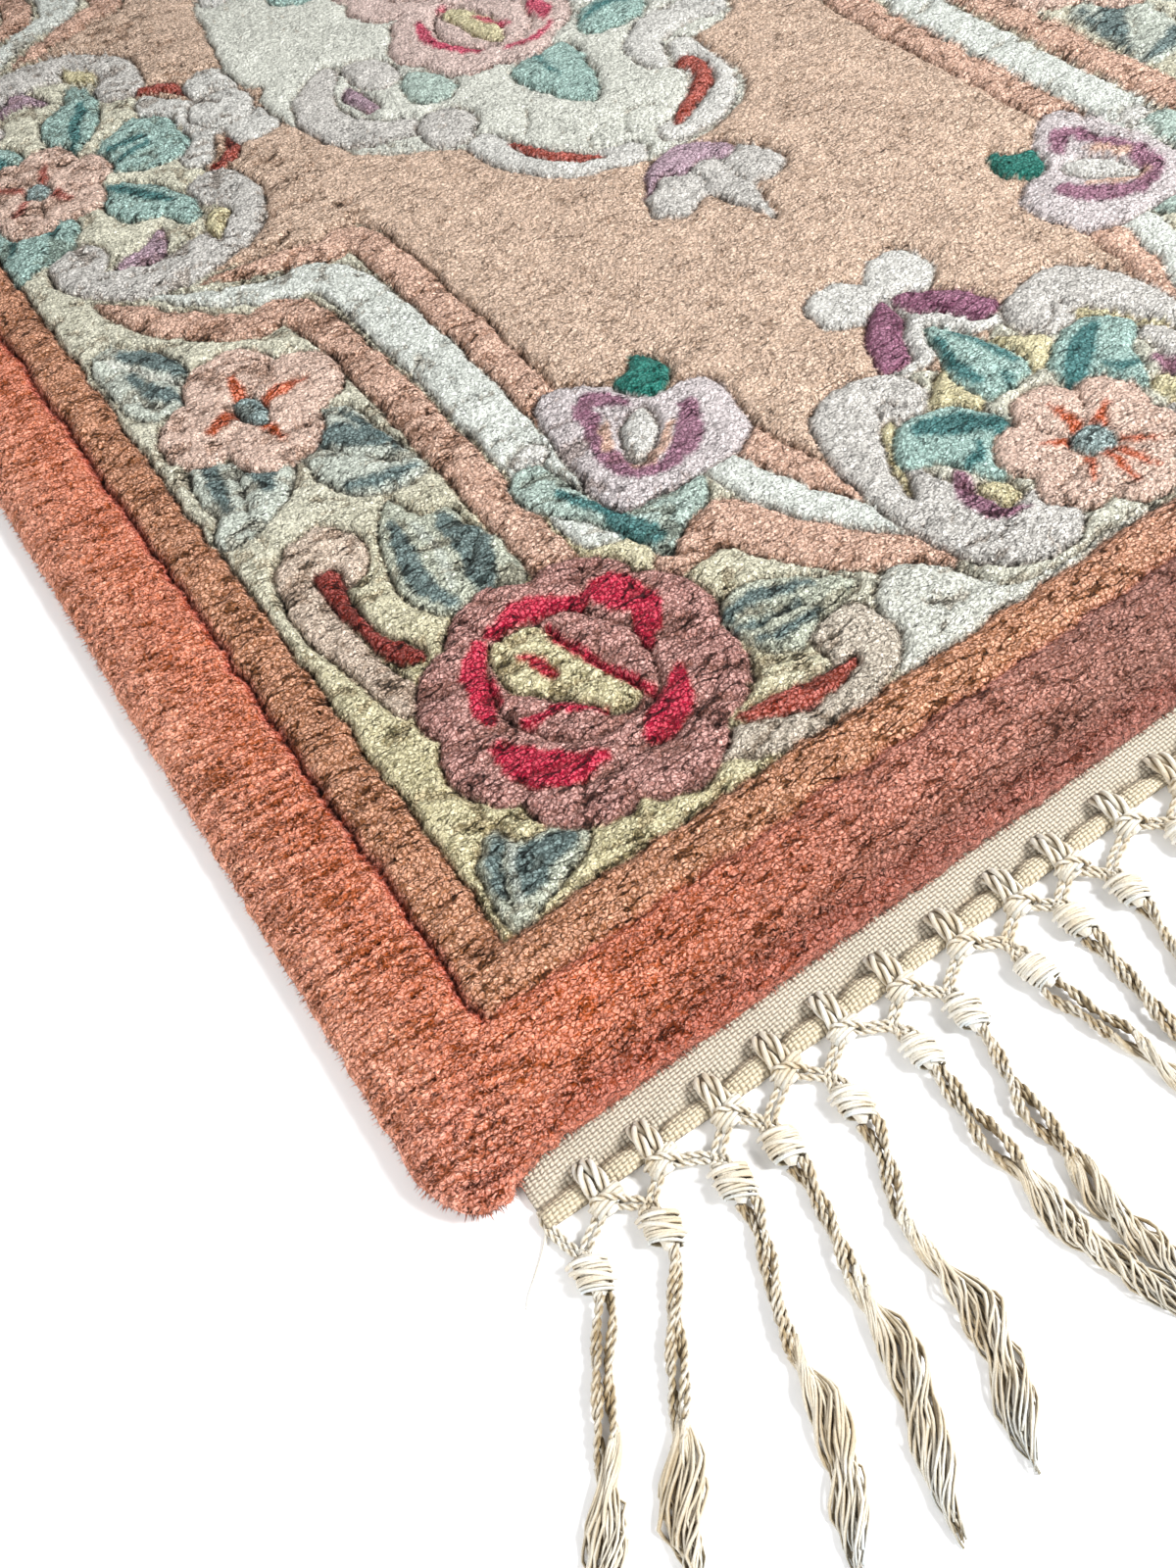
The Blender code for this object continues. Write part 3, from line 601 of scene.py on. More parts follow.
def shape_pile(u, v, fine):
    """Height in millimetres for plan points, and their yarn: dye with painted shade, and its gap
    shade.
    """
    colour, edge, rim = paint(u, v)
    side = np.minimum.reduce([u + BORDER, 2 * HALF_U + BORDER - u,
                              v + BORDER + END_SWELL, 2 * HALF_V + BORDER + END_SWELL - v])
    # at the ends the border is hardly cut off from its stripe; along the sides it is cut deep
    at_end = np.minimum(v, 2 * HALF_V - v) < np.minimum(u, 2 * HALF_U - u)
    faint = np.where(at_end, 1 - 0.55 * np.exp(-(rim / 7) ** 2), 1.0)
    outer = np.where(rim < STRIPE, 1.25, 1.0)
    channel = np.exp(-(edge / (1.8 * outer)) ** 1.5) * faint
    crown = np.exp(-edge / 6.5)
    parted = rifts(u, v, rim) * np.clip(2.0 - 1.6 * colour.mean(1), 0.45, 1)
    tips = 2 * hashed((u * 97).astype(np.int64), (v * 89).astype(np.int64), 31) - 1
    z = TOP - 3.7 * outer * channel - 1.7 * crown - 2.2 * parted
    z += 0.55 * noise(u, v, 34, 11) + 0.5 * noise(u, v, 9, 12)
    z += 0.38 * noise(u, v, (4.6, 3.0), 13) + 0.42 * tips * fine
    z -= 3.4 * np.exp(-(np.maximum(side, 0) / 4.5) ** 1.25)
    z += np.where(rim < 0, 0.5 * noise(u, v, 5.5, 14), 0)
    # painted shade: the channels and rifts are darker, and the shade is warm; higher tips are
    # painted lighter and lower ones darker, over some random tone
    shade = 1 - 0.44 * outer * np.exp(-(edge / (1.15 * outer)) ** 2) * faint - 0.5 * parted
    shade *= 1 + 0.11 * tips + 0.10 * noise(u, v, 2.6, 15) + 0.07 * noise(u, v, 16, 16)
    warm = np.array((1.0, 0.93, 0.88))
    colour = colour * shade[:, None] * np.where(shade[:, None] < 0.8, warm, 1.0)
    # painted shade, dark red, in the crease between the border and the brown stripe, weaker at the
    # ends
    crease_shade = np.exp(-(rim / 2.6) ** 2)[:, None] * np.where(at_end, 0.3, 1.0)[:, None]
    colour = colour * (1 - crease_shade * np.array((0.05, 0.34, 0.24)))
    # how deep the painted shade between the tufts goes: less on light dyes, the border and the open
    # field
    gap_shade = np.where(rim < 0, np.where(at_end, 0.82, 0.7), np.where(rim < STRIPE, 0.95, 1.0))
    gap_shade = gap_shade * np.clip(2.4 - 2.8 * colour.mean(1), 0.2, 1.15)
    gap_shade = gap_shade * (1 - 0.3 * open_field(u, rim))
    return z, np.column_stack([np.clip(colour, 0.004, 1), gap_shade])


# %% [markdown]
# ## The pile as one fabric in four pieces
#
# A pile surface is a grid of knots, so the pieces are grids too, closer near the corner that is
# looked at. They share one set of grid lines, so that the seams, which lie in the carved channel
# and along rows of knots, match point for point. The border also turns down over the rim to the
# cloth, made by extruding its outer edge row by row.


# %% Grid lines
def lines_through(rows):
    """Grid lines from rows of (start, end, spacing)."""
    out = []
    for start, end, spacing in rows:
        count = max(1, round((end - start) / spacing))
        out += list(start + (end - start) * np.arange(count) / count)
    return np.array(out + [rows[-1][1]])


def line_at(lines, place):
    """The number of the grid line nearest to a place."""
    return int(np.argmin(abs(lines - place)))


COARSE = 1.0
U_LINES = lines_through([(start, end, s * COARSE) for start, end, s in (
    # start, end, spacing: fine near the corner that is looked at
    (-BORDER, 0, 1.45), (0, 250, 1.5), (250, HALF_U, 2.0), (HALF_U, 600, 2.9),
    (600, 2 * HALF_U, 5.0), (2 * HALF_U, 2 * HALF_U + BORDER, 4.6))])
V_LINES = lines_through([(start, end, s * COARSE) for start, end, s in (
    (-BORDER - END_SWELL, 0, 1.45), (0, 250, 1.5), (250, 500, 2.0), (500, 800, 2.8),
    (800, 2 * HALF_V, 5.4), (2 * HALF_V, 2 * HALF_V + BORDER + END_SWELL, 4.6))])
U0, U1 = line_at(U_LINES, 0), line_at(U_LINES, 2 * HALF_U)
V0, V1 = line_at(V_LINES, 0), line_at(V_LINES, 2 * HALF_V)
FIELD_SEAMS = (262, 650)  # where the field's near, middle and far pieces meet
R_MID, R_FAR = (line_at(V_LINES, place) for place in FIELD_SEAMS)
print(len(U_LINES), "by", len(V_LINES), "grid lines")


# %% Shape the whole pile once
JITTER = 0.62  # how far a point may stray, as a share of the spacing


def hang(u, v):
    """How far the corner pile has been pulled out along the rug, in millimetres."""
    in_u = np.minimum(u, 2 * HALF_U - u)
    in_v = np.minimum(v, 2 * HALF_V - v)
    share = np.exp(-((in_u + 34) / 15) ** 2) * step(-14, -52, in_v)
    return np.where(v > HALF_V, 1.0, -1.0) * 8.5 * share


def soften_corners(u, v):
    """Rounds the grid's square corners and lets the loose pile there hang out past the end."""
    inset = BORDER - CORNER
    for cu, su in ((-inset, -1), (2 * HALF_U + inset, 1)):
        for cv, sv in ((-inset - END_SWELL, -1), (2 * HALF_V + inset + END_SWELL, 1)):
            a, b = np.clip((u - cu) * su / CORNER, 0, 1), np.clip((v - cv) * sv / CORNER, 0, 1)
            both = (a > 0) & (b > 0)
            u = np.where(both, cu + su * CORNER * a * np.sqrt(1 - b * b / 2), u)
            v = np.where(both, cv + sv * CORNER * b * np.sqrt(1 - a * a / 2), v)
    return u, v + hang(u, v)


grid_u, grid_v = np.meshgrid(U_LINES, V_LINES)
step_u, step_v = np.gradient(U_LINES)[None, :], np.gradient(V_LINES)[:, None]
loose = np.zeros(grid_u.shape)
loose[1:-1, 1:-1] = 1.0
loose[:, (U0, U1)] = 0.0
loose[(V0, V1), :] = 0.0
spots = np.arange(grid_u.size).reshape(grid_u.shape)
grid_u = grid_u + JITTER * loose * step_u * (hashed(spots, spots * 0 + 3, 41) - 0.5)
grid_v = grid_v + JITTER * loose * step_v * (hashed(spots, spots * 0 + 5, 42) - 0.5)
grid_u, grid_v = soften_corners(grid_u, grid_v)
grid_fine = np.clip(2.4 / np.maximum(step_u, step_v), 0.5, 1.3) * np.ones(grid_u.shape)
heights, yarn = shape_pile(grid_u.ravel(), grid_v.ravel(), grid_fine.ravel())
pile_x, pile_y = frame_xy(grid_u, grid_v)
pile_z = heights.reshape(grid_u.shape) * MM
pile_yarn = yarn.reshape(grid_u.shape + (4,))
print("pile heights in mm", round(heights.min(), 2), round(heights.max(), 2))


# %% Mesh helpers
def points_of(mesh):
    """The points of a mesh as rows of x, y, z."""
    flat = np.empty(len(mesh.vertices) * 3)
    mesh.vertices.foreach_get("co", flat)
    return flat.reshape(-1, 3)


def store_colours(mesh, name, values):
    """Stores one colour for each point, for a finish to read."""
    layer = mesh.color_attributes.new(name, "FLOAT_COLOR", "POINT")
    layer.data.foreach_set("color", values.ravel())


def smooth_all(mesh):
    """Shades every face of a mesh smooth."""
    mesh.polygons.foreach_set("use_smooth", [True] * len(mesh.polygons))
    return mesh


# %% Cut the pieces out of the shaped grid
def grid_block(c0, c1, r0, r1):
    """A bmesh grid over columns c0..c1 and rows r0..r1, with its yarn colours."""
    bm = bmesh.new()
    bmesh.ops.create_grid(bm, x_segments=c1 - c0, y_segments=r1 - r0, size=1.0)
    mesh = bpy.data.meshes.new("block")
    bm.to_mesh(mesh)
    bm.free()
    flat = points_of(mesh)
    col = c0 + np.rint((flat[:, 0] + 1) / 2 * (c1 - c0)).astype(int)
    row = r0 + np.rint((flat[:, 1] + 1) / 2 * (r1 - r0)).astype(int)
    where = np.stack([pile_x[row, col], pile_y[row, col], pile_z[row, col]], 1)
    mesh.vertices.foreach_set("co", where.ravel())
    store_colours(mesh, "yarn", pile_yarn[row, col])
    return smooth_all(mesh)


def place(name, mesh, slot):
    """Links a finished piece that rides on the rug."""
    piece = bpy.data.objects.new(name, mesh)
    bpy.context.scene.collection.objects.link(piece)
    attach(piece, "root")
    return piece


def merged(meshes):
    """One bmesh out of several meshes that share their edges' points."""
    bm = bmesh.new()
    for mesh in meshes:
        bm.from_mesh(mesh)
        bpy.data.meshes.remove(mesh)
    bmesh.ops.remove_doubles(bm, verts=bm.verts, dist=0.000002)
    return bm


field_near = place("field_near", grid_block(U0, U1, V0, R_MID), "wool_pile")
field_middle = place("field_middle", grid_block(U0, U1, R_MID, R_FAR), "wool_pile")
field_far = place("field_far", grid_block(U0, U1, R_FAR, V1), "wool_pile")

# %% [markdown]
# The rim is where a shaggy pile leans out past its last row of knots. Its profile is a table of
# how far each row lies out from the top's edge, how high it is and its painted shade, lighter near
# the top and darker down towards the cloth.

# %% The border and its rim
RIM = (
    # out, height, shade (above 1 painted light, below 1 painted shade)
    (1.7, 11.2, 1.05), (2.9, 9.0, 1.1), (3.2, 6.8, 1.1),
    (2.6, 4.9, 1.02), (1.0, 3.4, 0.85), (-3.0, 2.9, 0.6),
)
last_u, last_v = len(U_LINES) - 1, len(V_LINES) - 1
bm = merged([
    grid_block(0, U0, 0, last_v), grid_block(U1, last_u, 0, last_v),
    grid_block(U0, U1, 0, V0), grid_block(U0, U1, V1, last_v),
])


def outward(x, y):
    """The pile outline's own outward direction at points near its rim."""
    px = np.abs(x) - (HALF_U + BORDER - CORNER) * MM
    py = np.abs(y) - (HALF_V + BORDER + END_SWELL - CORNER) * MM
    corner = (px > 0) & (py > 0)
    gx = np.where(corner, px, (px > py).astype(float))
    gy = np.where(corner, py, (px <= py).astype(float))
    size = np.maximum(np.hypot(gx, gy), 1e-9)
    return gx / size * np.sign(x), gy / size * np.sign(y)


layer = bm.verts.layers.float_color["yarn"]
outer_u, outer_v = (HALF_U + 30) * MM, (HALF_V + 30) * MM  # the open edges past these are the rim's
edges = [e for e in bm.edges if e.is_boundary
         and all(abs(v.co.x) > outer_u or abs(v.co.y) > outer_v for v in e.verts)]
out_before = 0.0
for out, high, shade in RIM:
    made = bmesh.ops.extrude_edge_only(bm, edges=edges)["geom"]
    edges = [g for g in made if isinstance(g, bmesh.types.BMEdge) and g.is_boundary]
    for vert in (g for g in made if isinstance(g, bmesh.types.BMVert)):
        x, y = vert.co.x, vert.co.y
        nx, ny = outward(x, y)
        push = (out - out_before + 0.5 * float(noise(x / MM, y / MM + high, 5, 51))) * MM
        lifted = (high + 0.5 * float(noise(x / MM + high, y / MM, 6, 52))) * MM
        vert.co = Vector((x + float(nx) * push, y + float(ny) * push, lifted))
        tint = vert[layer]
        vert[layer] = (tint[0] * shade, tint[1] * shade ** 1.3, tint[2] * shade ** 1.3, 0.3)
    out_before = out
bmesh.ops.recalc_face_normals(bm, faces=bm.faces)
if sum(f.normal.z for f in bm.faces if f.calc_area() > 0) < 0:
    bmesh.ops.reverse_faces(bm, faces=bm.faces)
for face in bm.faces:
    face.smooth = True
border_mesh = bpy.data.meshes.new("border_pile")
bm.to_mesh(border_mesh)
bm.free()
border_pile = place("border_pile", border_mesh, "wool_pile")
for piece in (border_pile, field_near, field_middle, field_far):
    print(piece.name, 2 * len(piece.data.polygons), "triangles")

# %% [markdown]
# ## Loose tufts at the rim
#
# At the edge the pile isn't held up by neighbours, so single tufts of yarn show, with pale tips,
# partly worn and partly painted light, and painted shade at their feet. One small cone is modelled,
# and copies of it are set along the rim, leaning outwards, each a little different in length, turn
# and tone, and joined into one mesh.


# %% Tufts
def tuft_template():
    """A three-sided point with a closed foot, standing on its origin."""
    bm = bmesh.new()
    bmesh.ops.create_cone(bm, cap_ends=True, cap_tris=True, segments=3, radius1=1.0,
                          radius2=0.0, depth=1.0)
    bmesh.ops.translate(bm, verts=bm.verts, vec=(0, 0, 0.5))
    bmesh.ops.remove_doubles(bm, verts=bm.verts, dist=0.0001)
    foot = [v for v in bm.verts if v.co.z < 0.1 and v.co.xy.length < 0.1]
    bmesh.ops.dissolve_verts(bm, verts=foot)
    bmesh.ops.triangulate(bm, faces=bm.faces)
    mesh = bpy.data.meshes.new("tuft")
    bm.to_mesh(mesh)
    bm.free()
    faces = np.empty(len(mesh.polygons) * 3, int)
    mesh.polygons.foreach_get("vertices", faces)
    return points_of(mesh), faces.reshape(-1, 3)


def copies_mesh(name, template, faces, where, axis, length, width, tints, tip_light):
    """Joined copies of a template that stands on its origin along Z, with a colour for each,
    shaded.
    """
    count = len(where)
    axis = axis / np.linalg.norm(axis, axis=1, keepdims=True)
    turn = 2 * np.pi * hashed(np.arange(count), np.arange(count) * 0 + 7, 61)
    helper = np.where(abs(axis[:, 2:]) < 0.8, [[0, 0, 1.0]], [[1.0, 0, 0]])
    one = np.cross(axis, helper)
    one /= np.linalg.norm(one, axis=1, keepdims=True)
    two = np.cross(axis, one)
    first = one * np.cos(turn)[:, None] + two * np.sin(turn)[:, None]
    second = np.cross(axis, first)
    points = where[:, None, :]
    for part, (along, scale) in enumerate(((first, width), (second, width), (axis, length))):
        points = points + (template[:, part] * scale[:, None])[:, :, None] * along[:, None, :]
    mesh = bpy.data.meshes.new(name)
    index = (faces[None] + len(template) * np.arange(count)[:, None, None]).reshape(-1, 3)
    mesh.from_pydata(points.reshape(-1, 3).tolist(), [], index.tolist())
    tint = np.zeros((count, len(template), 4))
    # painted shade at each tuft's foot, rising to painted light at its tip
    foot_shade = 0.8
    tint[:, :, :3] = tints[:, None, :] * (
        foot_shade + (tip_light - foot_shade) * template[:, 2])[None, :, None]
    store_colours(mesh, "yarn", tint)
    return smooth_all(mesh)


def rim_walk(spacing_near, spacing_far):
    """Points and outward directions round the pile's outline, closer together near the corner."""
    ex, ey = HALF_U + BORDER - CORNER, HALF_V + BORDER + END_SWELL - CORNER
    quarter = math.pi / 2 * CORNER
    rows = []
    # each side starts beside one corner's centre and ends in the turn round the next one's
    for cu, cv, nu, nv, straight in ((-ex, ey, -1, 0, 2 * ey), (-ex, -ey, 0, -1, 2 * ex),
                                     (ex, -ey, 1, 0, 2 * ey), (ex, ey, 0, 1, 2 * ex)):
        for ahead, length in ((0.0, straight), (straight, quarter)):
            s = 0.0
            while s < length:
                a = s / CORNER if ahead else 0.0
                run = ahead or s
                out_u = nu * math.cos(a) - nv * math.sin(a)
                out_v = nv * math.cos(a) + nu * math.sin(a)
                rows.append((cu - nv * run + CORNER * out_u, cv + nu * run + CORNER * out_v,
                             out_u, out_v))
                near_corner = rows[-1][1] < 40 and rows[-1][0] < 60
                s += spacing_near if near_corner else spacing_far
    rows = np.array(rows)
    rows[:, 1] += hang(rows[:, 0] + HALF_U, rows[:, 1] + HALF_V)
    return rows


def jitters(count, number, seed):
    """Eight steady random numbers from -1 to 1 for each of count things."""
    k = np.arange(count)
    return [2 * hashed(k, k * 0 + number, seed + j) - 1 for j in range(8)]


TUFT_ROWS = (
    # inset from the outline, height, lean outwards, length
    (-1.4, 3.4, 1.0, 3.4), (-1.9, 4.8, 1.0, 3.8), (-2.2, 6.2, 1.0, 4.0), (-2.2, 7.6, 0.95, 4.2),
    (-1.8, 8.9, 0.9, 4.2), (-1.2, 10.0, 0.8, 4.2), (-0.4, 11.0, 0.7, 4.2), (0.8, 11.9, 0.6, 4.2),
    (2.2, 12.6, 0.5, 4.0), (4.0, 13.3, 0.42, 3.8), (6.0, 13.9, 0.36, 3.6), (8.2, 14.3, 0.32, 3.4),
)
TUFT_FOOT = 1.9  # how deep in the pile a tuft is rooted
walk = rim_walk(1.5 * COARSE, 5.5 * COARSE)
sets = []
for number, (inset, high, lean, length) in enumerate(TUFT_ROWS):
    jit = jitters(len(walk), number, 70)
    along = jit[0] * 1.3
    inward = inset + jit[1] + TUFT_FOOT
    x = walk[:, 0] - walk[:, 2] * inward - walk[:, 3] * along
    y = walk[:, 1] - walk[:, 3] * inward + walk[:, 2] * along
    z = high - 1.0 + 0.8 * jit[2]
    axis = np.stack([walk[:, 2] * lean + 0.5 * jit[3], walk[:, 3] * lean + 0.5 * jit[4],
                     (1 - lean) * 0.9 + 0.02 + 0.34 * jit[5]], 1)
    sets.append((x, y, z, axis, length * (1.05 + 0.4 * jit[6]), 0.52 + 0.14 * jit[5],
                 1 + 0.2 * jit[7]))
print(len(walk) * len(TUFT_ROWS), "tufts on the rim")


def top_tufts(low, high, spacing, number):
    """Tufts strewn over the top of the border between two plan corners."""
    count = int((high[0] - low[0]) * (high[1] - low[1]) / spacing ** 2)
    jit = jitters(count, number, 80)
    u = low[0] + (high[0] - low[0]) * (jit[0] + 1) / 2
    v = low[1] + (high[1] - low[1]) * (jit[1] + 1) / 2
    z = shape_pile(u, v, np.ones(count))[0]
    out_u, out_v = (-1.0, 0.0) if high[0] - low[0] < high[1] - low[1] else (0.0, -1.0)
    axis = np.stack([out_u * 0.5 + 0.5 * jit[2], out_v * 0.5 + 0.5 * jit[3],
                     0.42 + 0.2 * jit[4]], 1)
    return (u - HALF_U, v - HALF_V, z - 0.9, axis, 2.9 + 0.7 * jit[5], 0.55 + 0.12 * jit[6],
            1 + 0.2 * jit[7])


sets.append(top_tufts((-46, -50), (-3, 420), 2.3 * COARSE, 1))
sets.append(top_tufts((-20, -50), (HALF_U, -3), 2.1 * COARSE, 2))
x, y, z, axis, size, width, tone = (np.concatenate([group[i] for group in sets]) for i in range(7))
# a tuft is paler than the pile that it leans out of, partly worn and partly painted light, and a
# lower tuft gets more painted shade
colour = paint(x + HALF_U, y + HALF_V)[0] * 0.74 + DYES["worn_and_lit_tip"] * 0.26
colour = colour * tone[:, None] * (0.9 + 0.015 * z)[:, None]
template, template_faces = tuft_template()
rim_tufts = place("rim_tufts", copies_mesh(
    "rim_tufts", template, template_faces, np.stack([x, y, z], 1) * MM, axis, size * MM,
    width * MM, colour, 1.3), "wool_pile")
print("tufts", len(x), "triangles", len(rim_tufts.data.polygons))
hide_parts("pile")

# %% [markdown]
# ## The cotton cloth
#
# Warp and weft of undyed cotton carry the pile. Past the pile the cloth goes on as a plain-woven
# web, turned over at its end into a rolled hem that holds the weft. One grid makes it all: rows
# close together on the web, with the hem raised, and the weave itself in the finish.

# %% Foundation
WEB_INSET, CLOTH_INSET = 28.0, 8.0  # from the pile's side to the web's and the hidden cloth's
WEB_REACH, HEM_WIDTH, HEM_RISE, CLOTH_THICK = 82.0, 8.5, 2.8, 3.0
side, web = HALF_U + BORDER - CLOTH_INSET, HALF_U + BORDER - WEB_INSET
under, end = HALF_V + BORDER - CLOTH_INSET, HALF_V + WEB_REACH
across = np.concatenate([[-side], lines_through([(-web, -60, 3.4), (-60, web, 5.2)]), [side]])
web_rows = lines_through([(under, end - HEM_WIDTH - 3, 3.0), (end - HEM_WIDTH - 3, end, 0.95)])
along = np.concatenate([-web_rows[::-1], lines_through([(-under, under, 90.0)])[1:-1], web_rows])
bm = bmesh.new()
bmesh.ops.create_grid(bm, x_segments=len(across) - 1, y_segments=len(along) - 1, size=1.0)
for vert in bm.verts:
    col = round((vert.co.x + 1) / 2 * (len(across) - 1))
    row = round((vert.co.y + 1) / 2 * (len(along) - 1))
    vert.co = Vector((across[col], along[row], 0.0))
extra = [f for f in bm.faces
         if abs(f.calc_center_median().x) > web and abs(f.calc_center_median().y) > under]
bmesh.ops.delete(bm, geom=extra, context="FACES")
for vert in bm.verts:
    x, y = vert.co.x, vert.co.y
    if abs(y) > under + 1:
        pull = (abs(y) - under) / (end - under)
        vert.co.y += math.copysign(1.0, y) * pull * (1.1 * float(noise(x, 0, (31, 9), 84)) - 0.6)
        vert.co.x += 0.8 * pull * float(noise(x, y, (40, 6), 85))
# the tone starts darker and warmer, and the cloth's underside and the foot of its edge keep it as
# painted shade
tone = bm.verts.layers.float_color.new("tone")
for vert in bm.verts:
    vert[tone] = (0.8, 0.75, 0.65, 1)
raised = bmesh.ops.extrude_face_region(bm, geom=list(bm.faces))["geom"]
for vert in (g for g in raised if isinstance(g, bmesh.types.BMVert)):
    x, y = vert.co.x, vert.co.y
    wave = 1.3 * float(noise(x, 0, (17, 9), 86)) + 0.7 * float(noise(x, 0, (6.5, 9), 87))
    # each knot draws the hem in, so that it stands out a little between them
    pinch = math.cos(2 * math.pi * (x + HALF_U) / KNOT_PITCH)
    vert.co.y += math.copysign(1.3 * step(end - 12, end, abs(y)) * (-pinch), y)
    hem_here = HEM_WIDTH - wave - 0.9 * pinch
    past = (abs(y) - (end - hem_here)) / (hem_here - 0.4)
    roll = math.sqrt(max(0.0, 1 - (2 * min(max(past, 0), 1) - 1) ** 2))
    lump = float(noise(x, y, (15, 30), 81)) * 0.4 + float(noise(x, y, (5.5, 4), 82)) * 0.45
    sag = 0.3 * float(noise(x, y, (26, 12), 83))
    crease = 1.5 * math.exp(-(past * 5.0 + 0.30) ** 2)
    vert.co.z = CLOTH_THICK + sag + (HEM_RISE + lump - 0.5 * pinch) * roll - crease
    # painted shade in the crease where the hem turns over, and painted light on the hem's roll,
    # which is also a little yellower
    dark = math.exp(-(past * 6.0 + 0.25) ** 2) * (0.6 + 0.4 * float(noise(x, 0, (12, 9), 88)))
    hem = float(step(-0.1, 0.2, past))
    vert[tone] = (1 + 0.1 * hem - 0.46 * dark, 1 + 0.06 * hem - 0.54 * dark,
                  1 - 0.05 * hem - 0.62 * dark, 1)
bmesh.ops.recalc_face_normals(bm, faces=bm.faces)
below = [v for v in bm.verts if all(abs(w.co.z) < 0.0001 for f in v.link_faces for w in f.verts)]
bmesh.ops.dissolve_verts(bm, verts=below)
for face in bm.faces:
    face.smooth = True
bm.transform(Matrix.Scale(MM, 4))
cloth_mesh = bpy.data.meshes.new("cotton_cloth")
bm.to_mesh(cloth_mesh)
bm.free()
cotton_cloth = place("cotton_cloth", cloth_mesh, "cotton_foundation")
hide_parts("foundation")
print("cloth", 2 * len(cloth_mesh.polygons), "triangles")

# %% [markdown]
# ## Cords
#
# A cord of the fringe is two or three plies laid round each other. A curve along the helix of each
# ply, with a round bevel, gives that at once, and all the cords of one part are splines of one
# curve that becomes one mesh. The helix keeps a sideways and an upward direction across its path.
# Each ply also keeps the axes that it lies round, because it gets painted shade where it faces
# them.


# %% Cord making
PLY_OFFSET, PLY_RADIUS = {2: 0.25, 3: 0.29}, {2: 0.29, 3: 0.24}  # shares of a cord's thickness


def resample(stations, spacing):
    """A smooth path through the stations in even steps, and the length run at each."""
    line = smooth_line(stations, False, 6)
    run = np.concatenate([[0], np.cumsum(np.linalg.norm(np.diff(line[:, :3], axis=0), axis=1))])
    count = max(3, int(run[-1] / spacing) + 1)
    at = np.linspace(0, run[-1], count)
    return np.stack([np.interp(at, run, line[:, i]) for i in range(line.shape[1])], 1), at


def across_line(line):
    """Level and upright directions across a path."""
    tangent = np.gradient(line[:, :3], axis=0)
    tangent /= np.maximum(np.linalg.norm(tangent, axis=1, keepdims=True), 1e-9)
    flat = np.stack([-tangent[:, 1], tangent[:, 0], 0 * tangent[:, 0]], 1)
    flat[np.abs(flat).sum(1) < 0.15] = (1.0, 0.0, 0.0)
    flat /= np.linalg.norm(flat, axis=1, keepdims=True)
    return flat, np.cross(tangent, flat)


def beside(stations, gap):
    """The same path moved sideways by gap."""
    line = resample([tuple(row[:3]) for row in stations], 2.0)[0]
    return line + gap * across_line(line)[0]


def axis_at(around, v):
    """The points of an axis line that lie at the same v."""
    return np.stack([np.interp(-v, -around[:, 1], around[:, i]) for i in range(3)], 1)


def twisted(stations, thick, pitch, spacing, phase=0.0, plies=2, around=None):
    """The plies of one cord through stations (u, v, z), each with the axes that it lies round."""
    line, run = resample(stations, spacing)
    flat, up = across_line(line)
    made = []
    for ply in range(plies):
        angle = 2 * np.pi * run / pitch + phase + 2 * np.pi * ply / plies
        points = line[:, :3] + PLY_OFFSET[plies] * thick * (
            np.cos(angle)[:, None] * flat + np.sin(angle)[:, None] * up)
        radius = PLY_RADIUS[plies] * thick
        points[:, 2] = np.maximum(points[:, 2], radius)
        axes = [line[:, :3].copy()]
        if around is not None:
            axes.append(axis_at(around, points[:, 1]))
        made.append((points, np.full(len(line), radius), axes, 0.0))
    return made


def plain(stations, radius, spacing, around=None, frayed=0.0):
    """One smooth yarn; a fourth number in a station is its share of the radius."""
    line = resample(stations, spacing)[0]
    wide = line[:, 3] if line.shape[1] > 3 else np.ones(len(line))
    line[:, 2] = np.maximum(line[:, 2], radius * wide)
    axes = [] if around is None else [axis_at(around, line[:, 1])]
    return [(line[:, :3], radius * wide, axes, frayed)]


def gap_tones(rings, splines):
    """How light each ring point is: painted shade where it faces the axis that its cord lies round.
    """
    centre = rings.mean(1)
    out = np.ones(rings.shape[:2])
    facing = rings - centre[:, None, :]
    facing /= np.maximum(np.linalg.norm(facing, axis=2, keepdims=True), 1e-9)
    for level in range(2):
        axis = np.concatenate([axes[level] if len(axes) > level else np.full(points.shape, np.nan)
                               for points, _radius, axes, _frayed in splines])
        frame_axis = np.stack([*frame_xy(axis[:, 0], axis[:, 1]), axis[:, 2] * MM], 1)
        away = centre - frame_axis
        away /= np.maximum(np.linalg.norm(away, axis=1, keepdims=True), 1e-9)
        turned = (facing * away[:, None, :]).sum(2)
        known = ~np.isnan(turned)
        out[known] *= 0.3 + 0.7 * step(-0.45, 0.8, turned[known])
    return out


